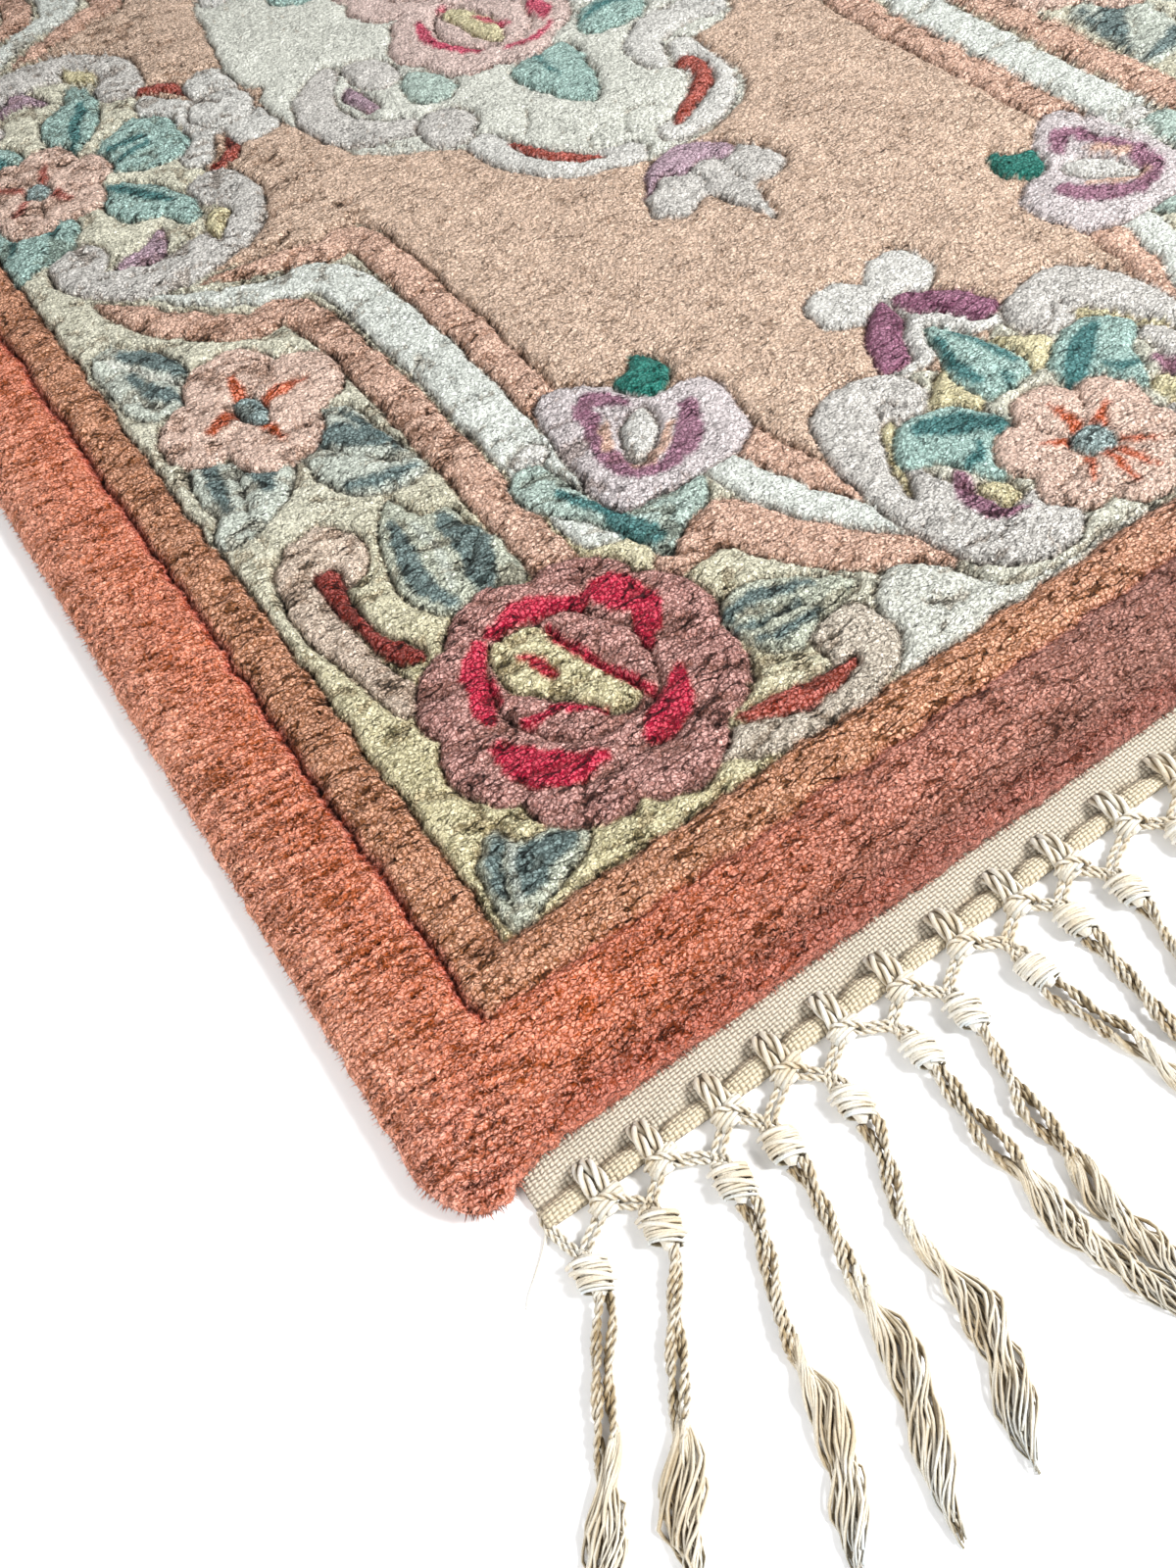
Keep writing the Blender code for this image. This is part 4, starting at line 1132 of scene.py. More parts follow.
def spline_mesh(name, splines, sides):
    """One mesh out of many bevelled splines in plan millimetres, with painted shade in its gaps."""
    data = bpy.data.curves.new(name, "CURVE")
    data.dimensions = "3D"
    data.bevel_depth = 1.0
    data.bevel_resolution = (sides - 4) // 2
    data.use_fill_caps = False
    for points, radius, _axes, _frayed in splines:
        path = data.splines.new("POLY")
        path.points.add(len(points) - 1)
        flat = np.ones((len(points), 4))
        flat[:, 0], flat[:, 1] = frame_xy(points[:, 0], points[:, 1])
        flat[:, 2] = points[:, 2] * MM
        path.points.foreach_set("co", flat.ravel())
        path.points.foreach_set("radius", radius * MM)
    carrier = bpy.data.objects.new(name, data)
    bpy.context.scene.collection.objects.link(carrier)
    bpy.context.view_layer.update()
    graph = bpy.context.evaluated_depsgraph_get()
    mesh = bpy.data.meshes.new_from_object(carrier.evaluated_get(graph))
    bpy.data.objects.remove(carrier, do_unlink=True)
    # frayed yarns are a little darker, and their tips are greyer and bluish
    light = gap_tones(points_of(mesh).reshape(-1, sides, 3), splines).ravel()[:, None]
    worn = [np.full(len(points), frayed) for points, _radius, _axes, frayed in splines]
    tips = [np.minimum(share, 1) * step(0.72, 0.98, np.linspace(0, 1, len(share)))
            for share in worn]
    worn, tip = (np.repeat(np.concatenate(rows), sides)[:, None] for rows in (worn, tips))
    light = light * (1 - 0.08 * worn * (1 - tip))
    tint = np.hstack([light ** 0.8 * (1 - 0.14 * tip), light * (1 - 0.04 * tip),
                      light ** 1.4 * (1 + 0.1 * tip), np.ones_like(light)])
    store_colours(mesh, "tone", tint)
    bm = bmesh.new()
    bm.from_mesh(mesh)
    bmesh.ops.holes_fill(bm, edges=[e for e in bm.edges if e.is_boundary], sides=sides)
    for face in bm.faces:
        face.smooth = True
    bmesh.ops.recalc_face_normals(bm, faces=bm.faces)
    bm.to_mesh(mesh)
    bm.free()
    mesh.materials.clear()
    mesh.name = name
    return mesh


# %% [markdown]
# ## Where the knots and tassels lie
#
# Cords come up through the web just above the hem, pass over it and are tied off in a first row of
# knots. From each knot one double cord goes left and one right, and meets its neighbour's in a
# second row of knots between. Below those the cords open into tassels of loose yarn. The tables
# give the knots that show, read in the plan; the rest follow in the same manner.

# %% Fringe layout
FIRST_COUNT = 29
EDGE_CORD = -21.0  # where the cord at the corner of the web comes out
NEAR_KNOTS, NEAR_TASSELS = 12, 11  # how many are made fine, from the corner
FIRST_SHIFT = (0.0, -4.0, -2.0, -3.0, -4.0, -4.0, -2.0, -1.0, -3.0, 1.0, 3.0)
TASSELS = (
    # knot_u, knot_v, stray_1, stray_2, stray_tip, drop
    (-19.0, -105.0, -16.0, -34.0, -58.0, 92.0),
    (11.0, -106.0, -18.0, -37.0, -62.0, 100.0),
    (42.0, -108.0, -12.0, -22.0, -45.0, 124.0),
    (65.0, -108.0, -6.0, -15.0, -35.0, 132.0),
    (96.0, -111.0, -13.0, -13.0, -33.0, 128.0),
    (130.0, -111.0, -4.0, -2.0, 8.0, 124.0),
    (154.0, -109.0, -8.0, -11.0, -5.0, 126.0),
    (187.0, -112.0, 6.0, 13.0, 17.0, 122.0),
    (214.0, -105.0, -2.0, -5.0, -3.0, 128.0),
    (240.0, -108.0, -8.0, -13.0, -17.0, 124.0),
)


def first_knots():
    """Where each first knot stands along the hem."""
    for count in range(FIRST_COUNT):
        shift = FIRST_SHIFT[count] if count < len(FIRST_SHIFT) else 2.5 * math.sin(2.1 * count)
        yield KNOT_PITCH * count + (0.0 if count == FIRST_COUNT - 1 else shift)


def tassel_rows(first):
    """A row as in TASSELS for each second knot: read off at the corner, by rule past it."""
    edges = [EDGE_CORD] + list(first) + [2 * HALF_U - EDGE_CORD]
    for count in range(len(first) + 1):
        if count < len(TASSELS):
            yield TASSELS[count]
            continue
        middle = (edges[count] + edges[count + 1]) / 2
        lean, curl = math.sin(1.7 * count), math.sin(2.9 * count + 1.0)
        if count == len(first):
            middle, lean, curl = 2 * HALF_U + 17.0, 2.2, 0.5
        yield (middle + 2.0 * curl, -108.0 - 3.0 * lean, 5.0 * lean + 3.0 * curl,
               13.0 * lean - 2.0 * curl, 19.0 * lean, 126.0 - 5.0 * abs(lean))


FIRST = list(first_knots())
ROWS = list(tassel_rows(FIRST))
print(len(FIRST), "first knots,", len(ROWS), "tassels at each end")


# %% [markdown]
# ## Knots, net and tassels
#
# A first knot is two thick cords over the hem, bound by a few turns and one crossing cord. A
# second knot is many slanting turns of thin cord round a full core, with two cords crossing over.
# Four cords leave it in two pairs, laid loosely round each other, and come undone about halfway
# down into wavy yarns that turn round one another and draw together at the end. Each part takes a
# fineness, so that what lies far off has fewer steps.


# %% Knots
WINDING_FRAY = 1.4  # windings are shaded as yarns are


def chance(*key):
    """A steady number from -1 to 1 for a key of whole numbers."""
    a, b, c = (list(key) + [0, 3])[:3]
    return float(2 * hashed(np.array(a * 7919 + b * 10473), np.array(c * 31 + b), 97) - 1)


def wound(centre, half_wide, half_high, turns, rise, slant, radius, fine, start=0.6, lean=0.0):
    """One cord wound round a bundle that runs along v, from centre (u, v, z) towards the tips."""
    count = max(9, int(10 * turns * fine))
    a = np.linspace(0, 2 * np.pi * turns, count) + start
    t = np.linspace(0, 1, count)
    barrel = 1 - 0.20 * np.abs(2 * t - 1) ** 3
    wobble = 0.5 * np.sin(0.73 * a + 5 * start) + 0.3 * np.sin(0.31 * a + start)
    middle = np.stack([centre[0] + lean * (t - 0.5), centre[1] - rise * t,
                       np.full(count, centre[2])], 1)
    u = middle[:, 0] + (half_wide * barrel + 0.3 * wobble) * np.cos(a)
    v = middle[:, 1] + slant * np.cos(a) + 0.8 * wobble
    z = np.maximum(centre[2] + (half_high * barrel + 0.2 * wobble) * np.sin(a), radius)
    points = np.stack([u, v, z], 1)
    middle[:, 1] = v
    return [(points, np.full(count, radius) * (1 + 0.12 * wobble), [middle], WINDING_FRAY)]


def first_knot(i, u, fine):
    """The knot that ties the cords off at the hem."""
    out = []
    core = np.array([(u, -66.0, 3.0), (u, -92.0, 3.0)])
    for strand, du in enumerate((-2.5, 2.7)):
        drop = 0.3 * abs(du)
        wide = 1.0 + 0.09 * chance(i, strand, 1)
        out += twisted([
            (u + du * 0.6, -67.6 - drop, 2.0), (u + du * 0.75, -69.4 - drop, 4.8),
            (u + du * wide, -74.0, 7.0), (u + du * 1.02 * wide, -79.3, 7.2),
            (u + du * 0.9, -84.0, 5.0), (u + du * 0.55, -88.5, 3.6),
        ], 5.0, 26.0, 1.9 / fine, phase=1.7 * strand + chance(i, 5), plies=3)
    tilt = 0.9 * chance(i, 2)
    out += wound((u + 0.6 + 0.3 * tilt, -82.6, 4.6), 6.6, 3.4, 4.6 + 0.2 * chance(i, 4), 6.6,
                 1.3 + tilt, 1.15, fine, 3.4 + 0.4 * chance(i, 6))
    out += twisted([
        (u - 6.4, -85.6, 4.4), (u - 4.0, -84.0, 8.2), (u + 0.4, -85.4, 9.3), (u + 4.6, -88.4, 7.8),
        (u + 7.0, -89.8, 4.4)], 3.0, 9.0, 1.6 / fine, phase=chance(i, 7), around=core)
    out += plain([(u, -82.5, 3.9), (u, -86.5, 3.9), (u, -90.5, 3.4)], 3.2, 2.6)
    return out


def net_leg(i, side, start_u, row, fine):
    """One double cord of the net, from a first knot to a second one."""
    end_u, end_v = row[0], row[1] + 8.5
    span = end_u - start_u
    bow = 2.2 * side * (1 + 0.5 * chance(i, side + 9))
    path = [
        (start_u + 1.6 * side, -86.0, 4.0), (start_u + 0.20 * span + bow, -89.9, 3.7),
        (start_u + 0.52 * span + bow * 1.5, -93.7, 3.0), (start_u + 0.82 * span + bow, -97.8, 3.0),
        (end_u - side * 2.0, end_v + 0.4, 4.2), (end_u - side * 0.9, end_v - 5.0, 4.6)]
    out = []
    for strand in (-1, 1):
        apart = 1.45 * strand * (1 + 0.25 * chance(i, side + 4, strand + 7))
        out += twisted(beside(path, apart), 3.0, 8.4, 1.6 / fine,
                       phase=3 * chance(i, side + 6, strand))
    return out


def second_knot(i, row, fine):
    """The knot that draws two neighbours of the net together."""
    u, v = row[0], row[1]
    lean = 0.26 * row[2] - 0.8 + 0.8 * chance(i, 13)
    size = 1 + 0.08 * chance(i, 14)
    slant = 5.8 * lean / 12.6 - 1.0
    out = plain([(u - lean * 0.4, v + 8.0, 3.6, 0.4), (u, v + 5, 4.3, 1.0), (u, v - 3.4, 4.3, 1.0),
                 (u + lean * 0.6, v - 7.6, 3.4, 0.4)], 3.9, 2.2)
    out += wound((u - lean * 0.1, v + 6.6, 4.6), 6.0 * size, 4.1, 11.6 + 0.6 * chance(i, 12), 12.4,
                 slant * (1 + 0.2 * chance(i, 15)), 0.68, fine, 2.2 + chance(i, 16), lean)
    for over, (height, steep) in enumerate(((4.6, 0.7), (-0.6, 1.6))):
        rise = height + 0.8 * chance(i, 17, over)
        slope = -slant * steep + 0.4
        out += plain([(u - 6.5, v + rise + slope, 3.4), (u - 4.3, v + rise + 0.7 * slope, 7.8),
                      (u + 0.2, v + rise, 9.6), (u + 4.4, v + rise - 0.7 * slope, 7.8),
                      (u + 6.5, v + rise - slope, 3.4)], 0.9, 1.9 / fine)
    return out


# %% Tassels
CORD_LAY, PAIR_LAY = 30.0, 150.0  # millimetres in which a cord, and a pair of them, turns once
YARN_RADIUS = 0.68


def tassel(i, row, fine, yarns_each):
    """The cords and the loose yarns below one second knot."""
    u, v, stray_1, stray_2, stray_tip, drop = row
    late = 0.5 * (stray_2 + stray_tip)
    share = [0.05, 0.10, 0.21, 0.32, 0.47, 0.62, 0.84, 1.06]
    stray = [0, 0.06 * stray_1, 0.5 * stray_1, stray_1, 0.45 * stray_1 + 0.55 * stray_2, stray_2,
             late, stray_tip + 0.07 * (stray_tip - late)]
    # the two at the corner are opened wider and are fuller than the rest
    at_corner = i < 2
    undone = 0.54 if at_corner else 0.43 + 0.07 * chance(i, 41)
    gape = 2.4 if at_corner else 1.2 + 1.0 * abs(chance(i, 43))
    full = 1.55 if at_corner else 1.12 + 0.16 * chance(i, 46)
    turn_0 = 2.0 * chance(i, 42)

    def heart(t):
        """The middle line of the tassel."""
        wave = 1.6 * math.sin(2 * math.pi * t * 1.7 + turn_0 * 2) * min(1.0, t * 2)
        return u + float(np.interp(t, share, stray)) + wave, v - drop * t, 3.2 * (1 - 0.15 * t)

    def bundle(t, c):
        """Where cord c of four lies at share t of the tassel's drop, as u, v, z."""
        pair, one = (-1, 1)[c // 2], (-1, 1)[c % 2]
        lay = 2 * math.pi * drop * t / CORD_LAY + 1.4 * c + turn_0
        slow = 2 * math.pi * drop * t / PAIR_LAY + turn_0
        open_up = math.sin(math.pi * min(1.0, t / 0.42)) if t < 0.42 else 0.0
        level = pair * (2.1 + gape * open_up) * math.cos(0.8 * slow) + 1.5 * one * math.cos(lay)
        raised = 0.9 * pair * math.sin(slow) + 1.35 * one * math.sin(lay)
        swell = 1.0 + (full - 0.85) * step(0.42, 0.72, t)
        draw_in = swell * (1 - 0.8 * step(0.86, 1.03, t))
        mu, mv, mz = heart(t)
        return mu + level * float(draw_in), mv, mz + raised * (1 - 0.15 * t)

    middle = np.array([heart(t) for t in np.linspace(-0.02, 1.1, 24)])
    cords, yarns = [], []
    for c in range(4):
        stop = undone + 0.05 * chance(i, 44, c)
        path = [bundle(t, c) for t in np.linspace(0.055, stop + 0.05, 11)]
        cords += twisted(path, 3.0, 8.6, 1.7 / fine, 2.0 * c + turn_0, around=middle)
        for y in range(yarns_each):
            k = i * 101 + c * 17 + y
            reach = 1.0 + 0.03 * chance(k, 2) - 0.06 * abs(chance(k, 7))
            path = []
            for n, t in enumerate(np.linspace(stop - 0.02, reach, 12)):
                bu, bv, bz = bundle(t, c)
                loose = float(step(0.0, 0.5, (t - stop) / (reach - stop)))
                ending = float(step(0.84, 1.02, t))
                round_turn = 2 * math.pi * drop * (t - stop) / (34 + 26 * loose)
                angle = 2 * math.pi * y / yarns_each + round_turn + c
                away = (1.0 + 1.7 * full * loose) * (1 - 0.72 * ending)
                waver = 1.7 * loose * (1 - 0.7 * ending) * chance(k, 3, n)
                path.append((bu + away * math.cos(angle) + waver, bv,
                             bz + 0.75 * away * math.sin(angle) + 0.5 * chance(k, 5, n)
                             - 0.8 * loose, 1.0 - 0.4 * (n / 11) ** 3))
            yarns += plain(path, YARN_RADIUS * (1 + 0.26 * chance(k, 8)), 3.4 / fine, middle,
                           1.1 + 0.9 * chance(k, 9))
    return cords, yarns


def edge_cord(k, fine):
    """The cord at a corner of the web, with a single loose thread."""
    row, start, side = ((ROWS[0], EDGE_CORD, 1), (ROWS[-1], 2 * HALF_U - EDGE_CORD, -1))[k]
    path = [(start, -74.0, 3.0), (start - 1.5 * side, -80.0, 2.6),
            (start + 0.4 * side, -90.0, 2.2), (row[0] + 0.6 * side, row[1] + 9, 3.2),
            (row[0] + side, row[1] + 4, 4.0)]
    out = []
    for strand in (-1, 1):
        out += twisted(beside(path, 1.2 * strand), 2.7, 7.6, 1.5 / fine, 0.4 + k + strand)
    return out + plain([
        (start - 1 * side, -79.0, 1.8, 1), (start - 8 * side, -86.0, 1.0, 0.9),
        (start - 15 * side, -91.5, 0.6, 0.75), (start - 20 * side, -95.5, 0.8, 0.6),
        (start - 24 * side, -99.5, 0.5, 0.4)], 0.7, 2.0)


# %% Fringe parts
def turn_half(mesh):
    """The same mesh at the rug's other end."""
    mesh.transform(Matrix.Rotation(math.pi, 4, "Z"))
    return mesh


def fringe(fine_near, fine_far, yarns_near, yarns_far):
    """All the knots, cords and yarns of one end, finer and fuller near the corner."""
    knots, cords, yarns = [], [], []
    for i, u in enumerate(FIRST):
        fine = fine_near if i < NEAR_KNOTS else fine_far
        knots += first_knot(i, u, fine)
        cords += net_leg(i, -1, u, ROWS[i], fine) + net_leg(i, 1, u, ROWS[i + 1], fine)
    for i, row in enumerate(ROWS):
        fine, each = (fine_near, yarns_near) if i < NEAR_TASSELS else (fine_far, yarns_far)
        knots += second_knot(i, row, fine)
        some_cords, some_yarns = tassel(i, row, fine, each)
        cords += some_cords
        yarns += some_yarns
    return knots, cords + edge_cord(0, fine_near) + edge_cord(1, fine_far), yarns


knots, cords, yarns = fringe(1.0, 0.65, 8, 5)
front_knots = place("front_knots", spline_mesh("front_knots", knots, 6), "cotton_fringe")
front_cords = place("front_cords", spline_mesh("front_cords", cords, 4), "cotton_fringe")
front_yarns = place("front_yarns", spline_mesh("front_yarns", yarns, 4), "cotton_fringe")
back_knots, back_cords, back_yarns = (
    place(name, turn_half(spline_mesh(name, splines, 4)), "cotton_fringe_back")
    for name, splines in zip(("back_knots", "back_cords", "back_yarns"), fringe(0.5, 0.5, 3, 3)))
for piece in (front_knots, front_cords, front_yarns, back_knots, back_cords, back_yarns):
    print(piece.name, sum(len(p.vertices) - 2 for p in piece.data.polygons), "triangles")
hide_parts("fringe_front")
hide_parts("fringe_back")

# %% [markdown]
# ## Finishes
#
# Wool is matte with a soft sheen at grazing angles. Its surface is the tips of thousands of cut
# yarns in clumps about two and a half millimetres across, which a cell pattern gives, with painted
# shade in the seams between clumps and painted light in their middles, fine streaks of painted
# light and shade where the tips lean, and finer fibres over them. The pile parts in thin creases
# with painted shade, deeper where the yarn's stored alpha is higher, and that alpha also deepens
# the painted shade between the tufts. Cotton is paler and cleaner: the web has the over and under
# of a plain weave, with painted shade where a thread dips under and in the holes between threads,
# and the cords a fine grain along the plies.


# %% Finish helper
class Look:
    """A finish in the making: a material with short ways to add nodes to it."""

    def __init__(self, name, roughness, sheen):
        self.material = bpy.data.materials.new(name)
        self.material.use_nodes = True
        self.nodes = self.material.node_tree.nodes
        self.links = self.material.node_tree.links
        self.shader = self.nodes["Principled BSDF"]
        for socket, value in (("Roughness", roughness), ("Specular IOR Level", 0.2),
                              ("Sheen Weight", sheen), ("Sheen Roughness", 0.55)):
            self.put(self.shader, socket, value)
        self.where = self.nodes.new("ShaderNodeTexCoord").outputs["Object"]

    def put(self, node, socket, value):
        """Sets an input to a value, or joins it to another node's output."""
        if isinstance(value, bpy.types.NodeSocket):
            self.links.new(value, node.inputs[socket])
        else:
            node.inputs[socket].default_value = value

    def node(self, kind, sockets, **settings):
        """A node with its settings made first and then its inputs filled, by name or number."""
        made = self.nodes.new("ShaderNode" + kind)
        for setting, value in settings.items():
            setattr(made, setting, value)
        for socket, value in sockets.items():
            self.put(made, socket, value)
        return made

    def math(self, kind, *values):
        return self.node("Math", dict(enumerate(values)), operation=kind).outputs[0]

    def vector(self, kind, first, other, socket=1):
        return self.node("VectorMath", {0: first, socket: other}, operation=kind).outputs[0]

    def noise(self, where, scale, detail):
        made = self.node("TexNoise", {"Scale": scale, "Detail": detail, "Vector": where})
        return made.outputs["Fac"]

    def cells(self, where, scale, feature="F1"):
        return self.node("TexVoronoi", {"Scale": scale, "Vector": where}, feature=feature).outputs

    def stirred(self, scale, amount):
        """The place, pushed about a little so that no pattern on it runs quite straight."""
        push = self.node("TexNoise", {"Scale": scale, "Vector": self.where}).outputs["Color"]
        return self.node("VectorMath", {0: push, 1: amount, 2: self.where},
                         operation="MULTIPLY_ADD").outputs[0]

    def mapped(self, where, scale, turn=0.0, shift=(0.0, 0.0, 0.0)):
        return self.node("Mapping", {"Rotation": (0.0, 0.0, turn), "Scale": scale,
                                     "Location": shift, "Vector": where}).outputs[0]

    def between(self, share, low, high):
        """low + (high - low) * share, as one node."""
        return self.node("MapRange", {"To Min": low, "To Max": high, "Value": share}).outputs[0]

    def share_of(self, value, low, high, how="LINEAR"):
        """0 at low, 1 at high."""
        return self.node("MapRange", {"From Min": low, "From Max": high, "Value": value},
                         interpolation_type=how).outputs[0]

    def creases(self, where, detail):
        """1 on thin waving lines, where a noise crosses its middle, and 0 beside them."""
        off = self.math("ABSOLUTE", self.math("SUBTRACT", self.noise(where, 1.0, detail), 0.5))
        return self.math("SUBTRACT", 1.0, self.share_of(off, 0.0, 0.04, "SMOOTHSTEP"))

    def bump(self, height, distance, strength, before=None):
        sockets = {"Distance": distance, "Strength": strength, "Height": height}
        if before is not None:
            sockets["Normal"] = before
        return self.node("Bump", sockets).outputs["Normal"]

    def stored(self, name):
        return self.node("Attribute", {}, attribute_name=name).outputs

    def blend(self, share, low, high):
        """Between two colours given from 0 to 255."""
        return self.node("Mix", {"Factor": share, "A": (*rgb(*low), 1), "B": (*rgb(*high), 1)},
                         data_type="RGBA").outputs["Result"]

    def show(self, colour, grain, normal):
        """Colour times the piece's own stored tone, which carries painted shade, and a grain, with
        the bumps.
        """
        toned = self.vector("MULTIPLY", colour, self.stored("tone")["Color"])
        self.put(self.shader, "Base Color", self.vector("SCALE", toned, grain, "Scale"))
        self.put(self.shader, "Normal", normal)
        return self.material


# %% Wool
def wool_finish():
    look = Look("wool_pile_finish", 0.95, 0.05)
    yarn = look.stored("yarn")
    stirred = look.stirred(330.0, (0.0024, 0.0024, 0.0024))
    clumps = look.cells(stirred, 390.0)
    seams = look.cells(stirred, 390.0, "DISTANCE_TO_EDGE")["Distance"]
    clump_tone = look.node("SeparateColor", {0: clumps["Color"]}).outputs[0]
    # the pile parts between rows of knots, in thin waving creases across the rug, given painted
    # shade
    across = look.creases(look.mapped(stirred, (40.0, 165.0, 40.0), 0.42), 1.5)
    some = look.share_of(look.noise(look.where, 62.0, 2.0), 0.36, 0.5)
    parted = look.math("MULTIPLY", look.math("MULTIPLY", across, some), yarn["Alpha"])
    # along the side border it lies in long soft folds that run straight across, with painted shade
    # between them
    folds = look.creases(look.mapped(stirred, (24.0, 150.0, 24.0), 0.1), 1.0)
    place_x = look.node("SeparateXYZ", {0: look.where}).outputs["X"]
    at_side = look.share_of(place_x, -(HALF_U + 3) * MM, -(HALF_U + 14) * MM)
    folded = look.math("MULTIPLY", folds, look.math("MULTIPLY", at_side, 0.8))
    whole = look.math("MULTIPLY", look.math("SUBTRACT", 1.0, parted),
                      look.math("SUBTRACT", 1.0, folded))
    # short streaks of painted light and shade where the tips lean over each other, and single
    # fibres
    comb = look.mapped(stirred, (430.0, 1150.0, 700.0), 0.35)
    hairs = look.share_of(look.noise(comb, 1.0, 2.0), 0.3, 0.7)
    fibre = look.noise(look.where, 2600.0, 2.0)
    # painted shade in the seams between clumps and painted light in their middles
    total = look.between(look.share_of(seams, 0.0, 0.22, "SMOOTHSTEP"), 0.56, 1.1)
    for share, low, high in ((hairs, 0.68, 1.34), (clump_tone, 0.9, 1.12), (fibre, 0.8, 1.2),
                             (look.noise(look.where, 150.0, 1.0), 0.88, 1.14),
                             (whole, 0.34, 1.0)):
        total = look.math("MULTIPLY", total, look.between(share, low, high))
    # the stored alpha sets how deep the painted shade between the tufts goes, and the painted shade
    # keeps the dye's hue, more saturated
    total = look.math("POWER", total, look.math("MULTIPLY_ADD", yarn["Alpha"], 1.1, 0.3))
    painted = look.vector("SCALE", yarn["Color"], total, "Scale")
    deepened = look.node("HueSaturation", {"Saturation": look.between(total, 1.5, 1.0),
                                           "Color": painted}).outputs[0]
    look.put(look.shader, "Base Color", deepened)
    low = look.bump(whole, 0.0026, 1.0)
    mid = look.bump(look.math("SUBTRACT", 1.0, clumps["Distance"]), 0.0036, 1.0, low)
    high = look.bump(hairs, 0.0011, 1.0, mid)
    look.put(look.shader, "Normal", look.bump(fibre, 0.0003, 0.8, high))
    return look.material


# %% Cotton
def cloth_finish():
    """Plain weave: by a checker, the warp or the weft thread lies on top and hides the other."""
    look = Look("cotton_cloth_finish", 0.9, 0.15)
    threads = look.mapped(look.stirred(210.0, (0.0012, 0.0012, 0.0)), (450.0, 620.0, 0.0),
                          shift=(0.0, 0.0, 0.5))
    checker = look.node("TexChecker", {"Scale": 1.0, "Vector": threads}).outputs["Fac"]
    split = look.node("SeparateXYZ", {0: threads}).outputs
    swell = [look.math("SINE", look.math("MULTIPLY", look.math("FRACT", split[part]), math.pi))
             for part in ("X", "Y")]
    over = [look.math("MULTIPLY", wide, look.math("MULTIPLY_ADD", long, 0.55, 0.45))
            for wide, long in (swell, swell[::-1])]
    weave = look.node("Mix", {"Factor": checker, "A": over[0], "B": over[1]}).outputs["Result"]
    # the threads part most at the corners of the weave, where the hole gets painted shade, and each
    # thread gets painted shade where it dips under the next
    hollow = look.math("MULTIPLY", *(look.math("SUBTRACT", 1.0, thread) for thread in swell))
    filled = look.math("SUBTRACT", 1.0, look.math("POWER", hollow, 0.8))
    cover = look.math("MULTIPLY", filled, look.math("POWER", weave, 0.18))
    fibre = look.noise(look.where, 1800.0, 2.0)
    grain = look.math("MULTIPLY", look.between(look.noise(look.where, 45.0, 3.0), 0.82, 1.12),
                      look.between(fibre, 0.82, 1.15))
    normal = look.bump(fibre, 0.0003, 0.6, look.bump(weave, 0.0009, 1.0))
    return look.show(look.blend(cover, (134, 118, 96), (213, 203, 184)), grain, normal)


def cord_finish(name):
    """Undyed cotton, in patches more or less yellowed."""
    look = Look(name, 0.85, 0.2)
    fibre = look.noise(look.where, 1500.0, 3.0)
    clean = look.math("MULTIPLY_ADD", look.noise(look.where, 60.0, 3.0), 3.2, -0.95)
    clean.node.use_clamp = True
    return look.show(look.blend(clean, (208, 196, 174), (224, 221, 212)),
                     look.between(fibre, 0.72, 1.26), look.bump(fibre, 0.0005, 0.8))


wool, cloth_look = wool_finish(), cloth_finish()
twine, twine_back = cord_finish("cotton_fringe_finish"), cord_finish("cotton_fringe_back_finish")
for piece in (border_pile, field_near, field_middle, field_far, rim_tufts):
    piece.data.materials.append(wool)
cotton_cloth.data.materials.append(cloth_look)
for piece in (front_knots, front_cords, front_yarns):
    piece.data.materials.append(twine)
for piece in (back_knots, back_cords, back_yarns):
    piece.data.materials.append(twine_back)

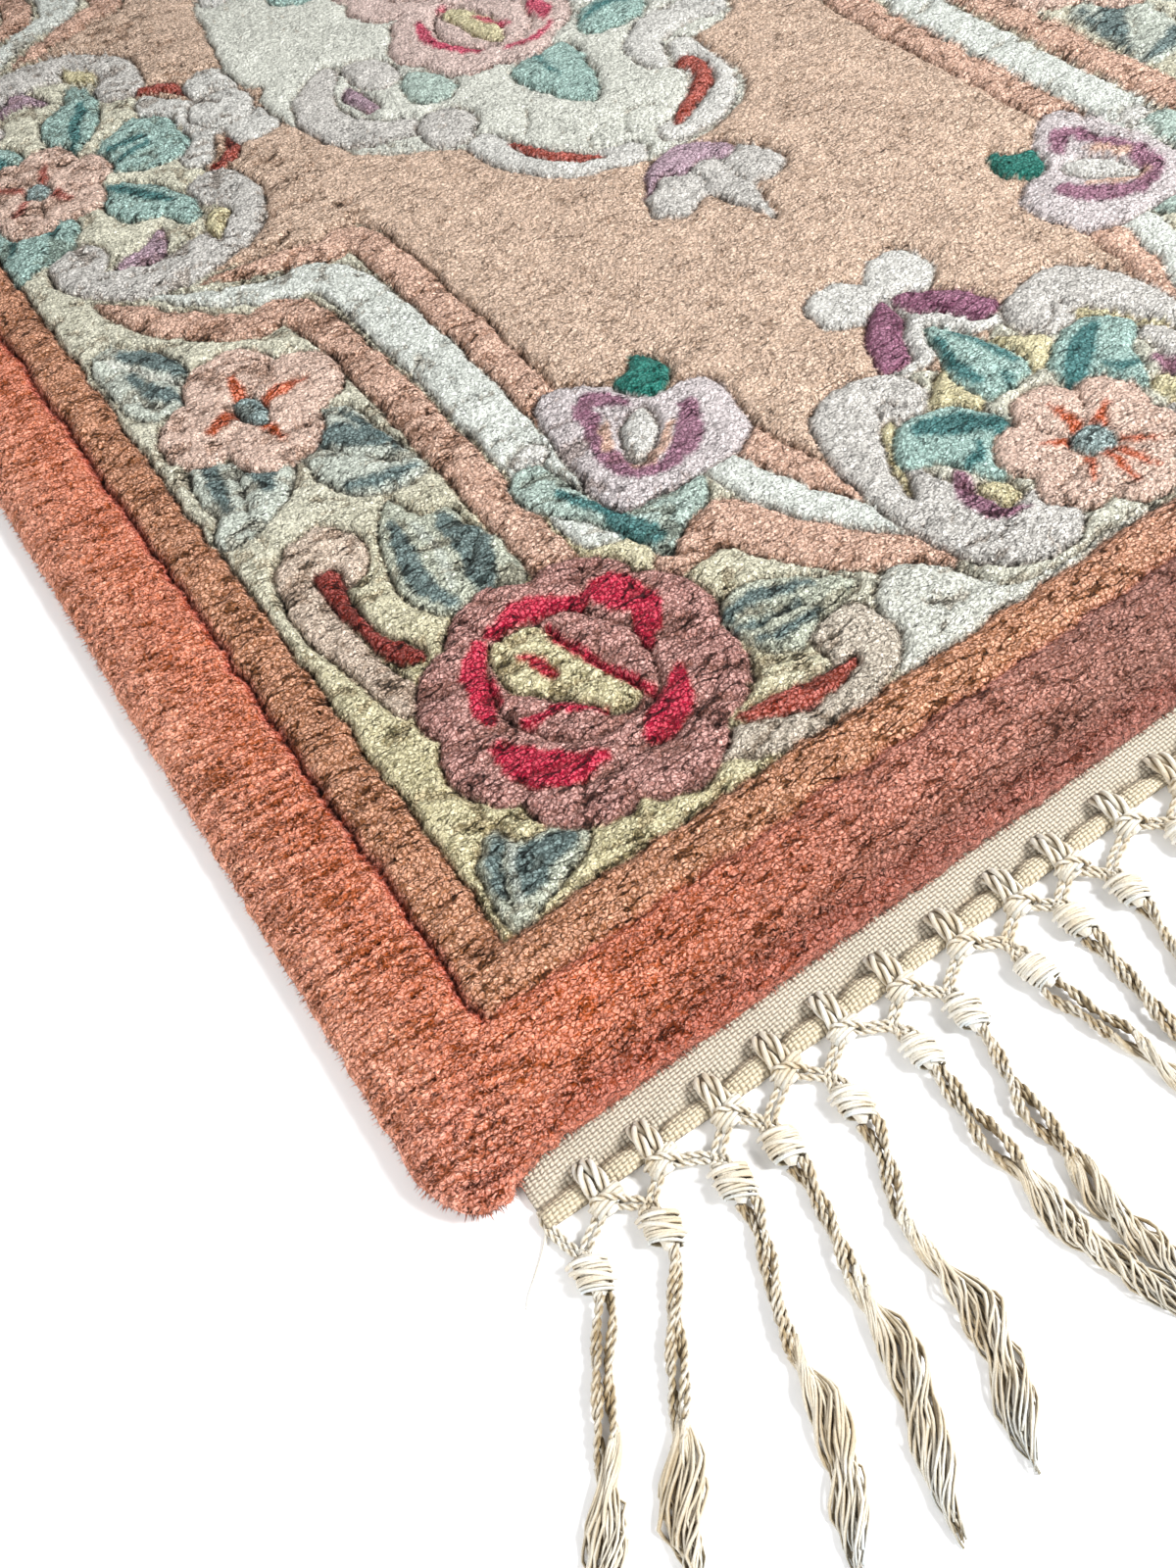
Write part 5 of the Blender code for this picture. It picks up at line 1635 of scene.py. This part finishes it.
# %% [markdown]
# ## Floor, light and camera
#
# A plain pale floor under an even sky. A large lamp at the near right throws the carving's
# shadows to the left, and a weak one at the left opens them. The camera was solved from the
# straight border and stripe lines: it stands low over the near left corner and looks along the rug.

# %% Floor and light
bm = bmesh.new()
bmesh.ops.create_grid(bm, x_segments=1, y_segments=1, size=6.0)
floor_mesh = bpy.data.meshes.new("floor")
bm.to_mesh(floor_mesh)
bm.free()
floor = bpy.data.objects.new("floor", floor_mesh)
bpy.context.scene.collection.objects.link(floor)
floor_look = bpy.data.materials.new("pale_floor")
floor_look.use_nodes = True
floor_shader = floor_look.node_tree.nodes["Principled BSDF"]
floor_shader.inputs["Base Color"].default_value = (0.95, 0.95, 0.95, 1)
floor_shader.inputs["Roughness"].default_value = 0.8
floor_mesh.materials.append(floor_look)

world = bpy.data.worlds.new("daylight")
world.use_nodes = True
sky = world.node_tree.nodes["Background"]
sky.inputs["Color"].default_value = (1.0, 1.0, 1.0, 1)
sky.inputs["Strength"].default_value = 0.52
bpy.context.scene.world = world


def lamp(name, place_at, target, size, power):
    data = bpy.data.lights.new(name, "AREA")
    data.shape, data.size, data.energy = "SQUARE", size, power
    made = bpy.data.objects.new(name, data)
    bpy.context.scene.collection.objects.link(made)
    made.location = place_at
    made.rotation_euler = (Vector(target) - Vector(place_at)).to_track_quat("-Z", "Y").to_euler()


lamp("window", (1.35, -1.75, 1.75), (-0.1, -0.4, 0.0), 0.7, 122.0)
lamp("fill", (-1.9, -1.1, 0.9), (-0.3, -0.6, 0.0), 1.0, 24.0)
bpy.context.scene.view_settings.view_transform = "Standard"

# %% Camera
EYE = Vector((-0.4455, -0.9635, 0.5077))
RIGHT = Vector((0.8214, -0.5547, -0.1332)).normalized()
BACK = Vector((-0.2245, -0.5289, 0.8184)).normalized()
UP = BACK.cross(RIGHT).normalized()
RIGHT = UP.cross(BACK)
camera_data = bpy.data.cameras.new("camera")
camera_data.lens = 31.7
camera_data.sensor_width = 36.0
camera = bpy.data.objects.new("camera", camera_data)
bpy.context.scene.collection.objects.link(camera)
camera.matrix_world = Matrix.Translation(EYE) @ Matrix((RIGHT, UP, BACK)).transposed().to_4x4()
bpy.context.scene.camera = camera
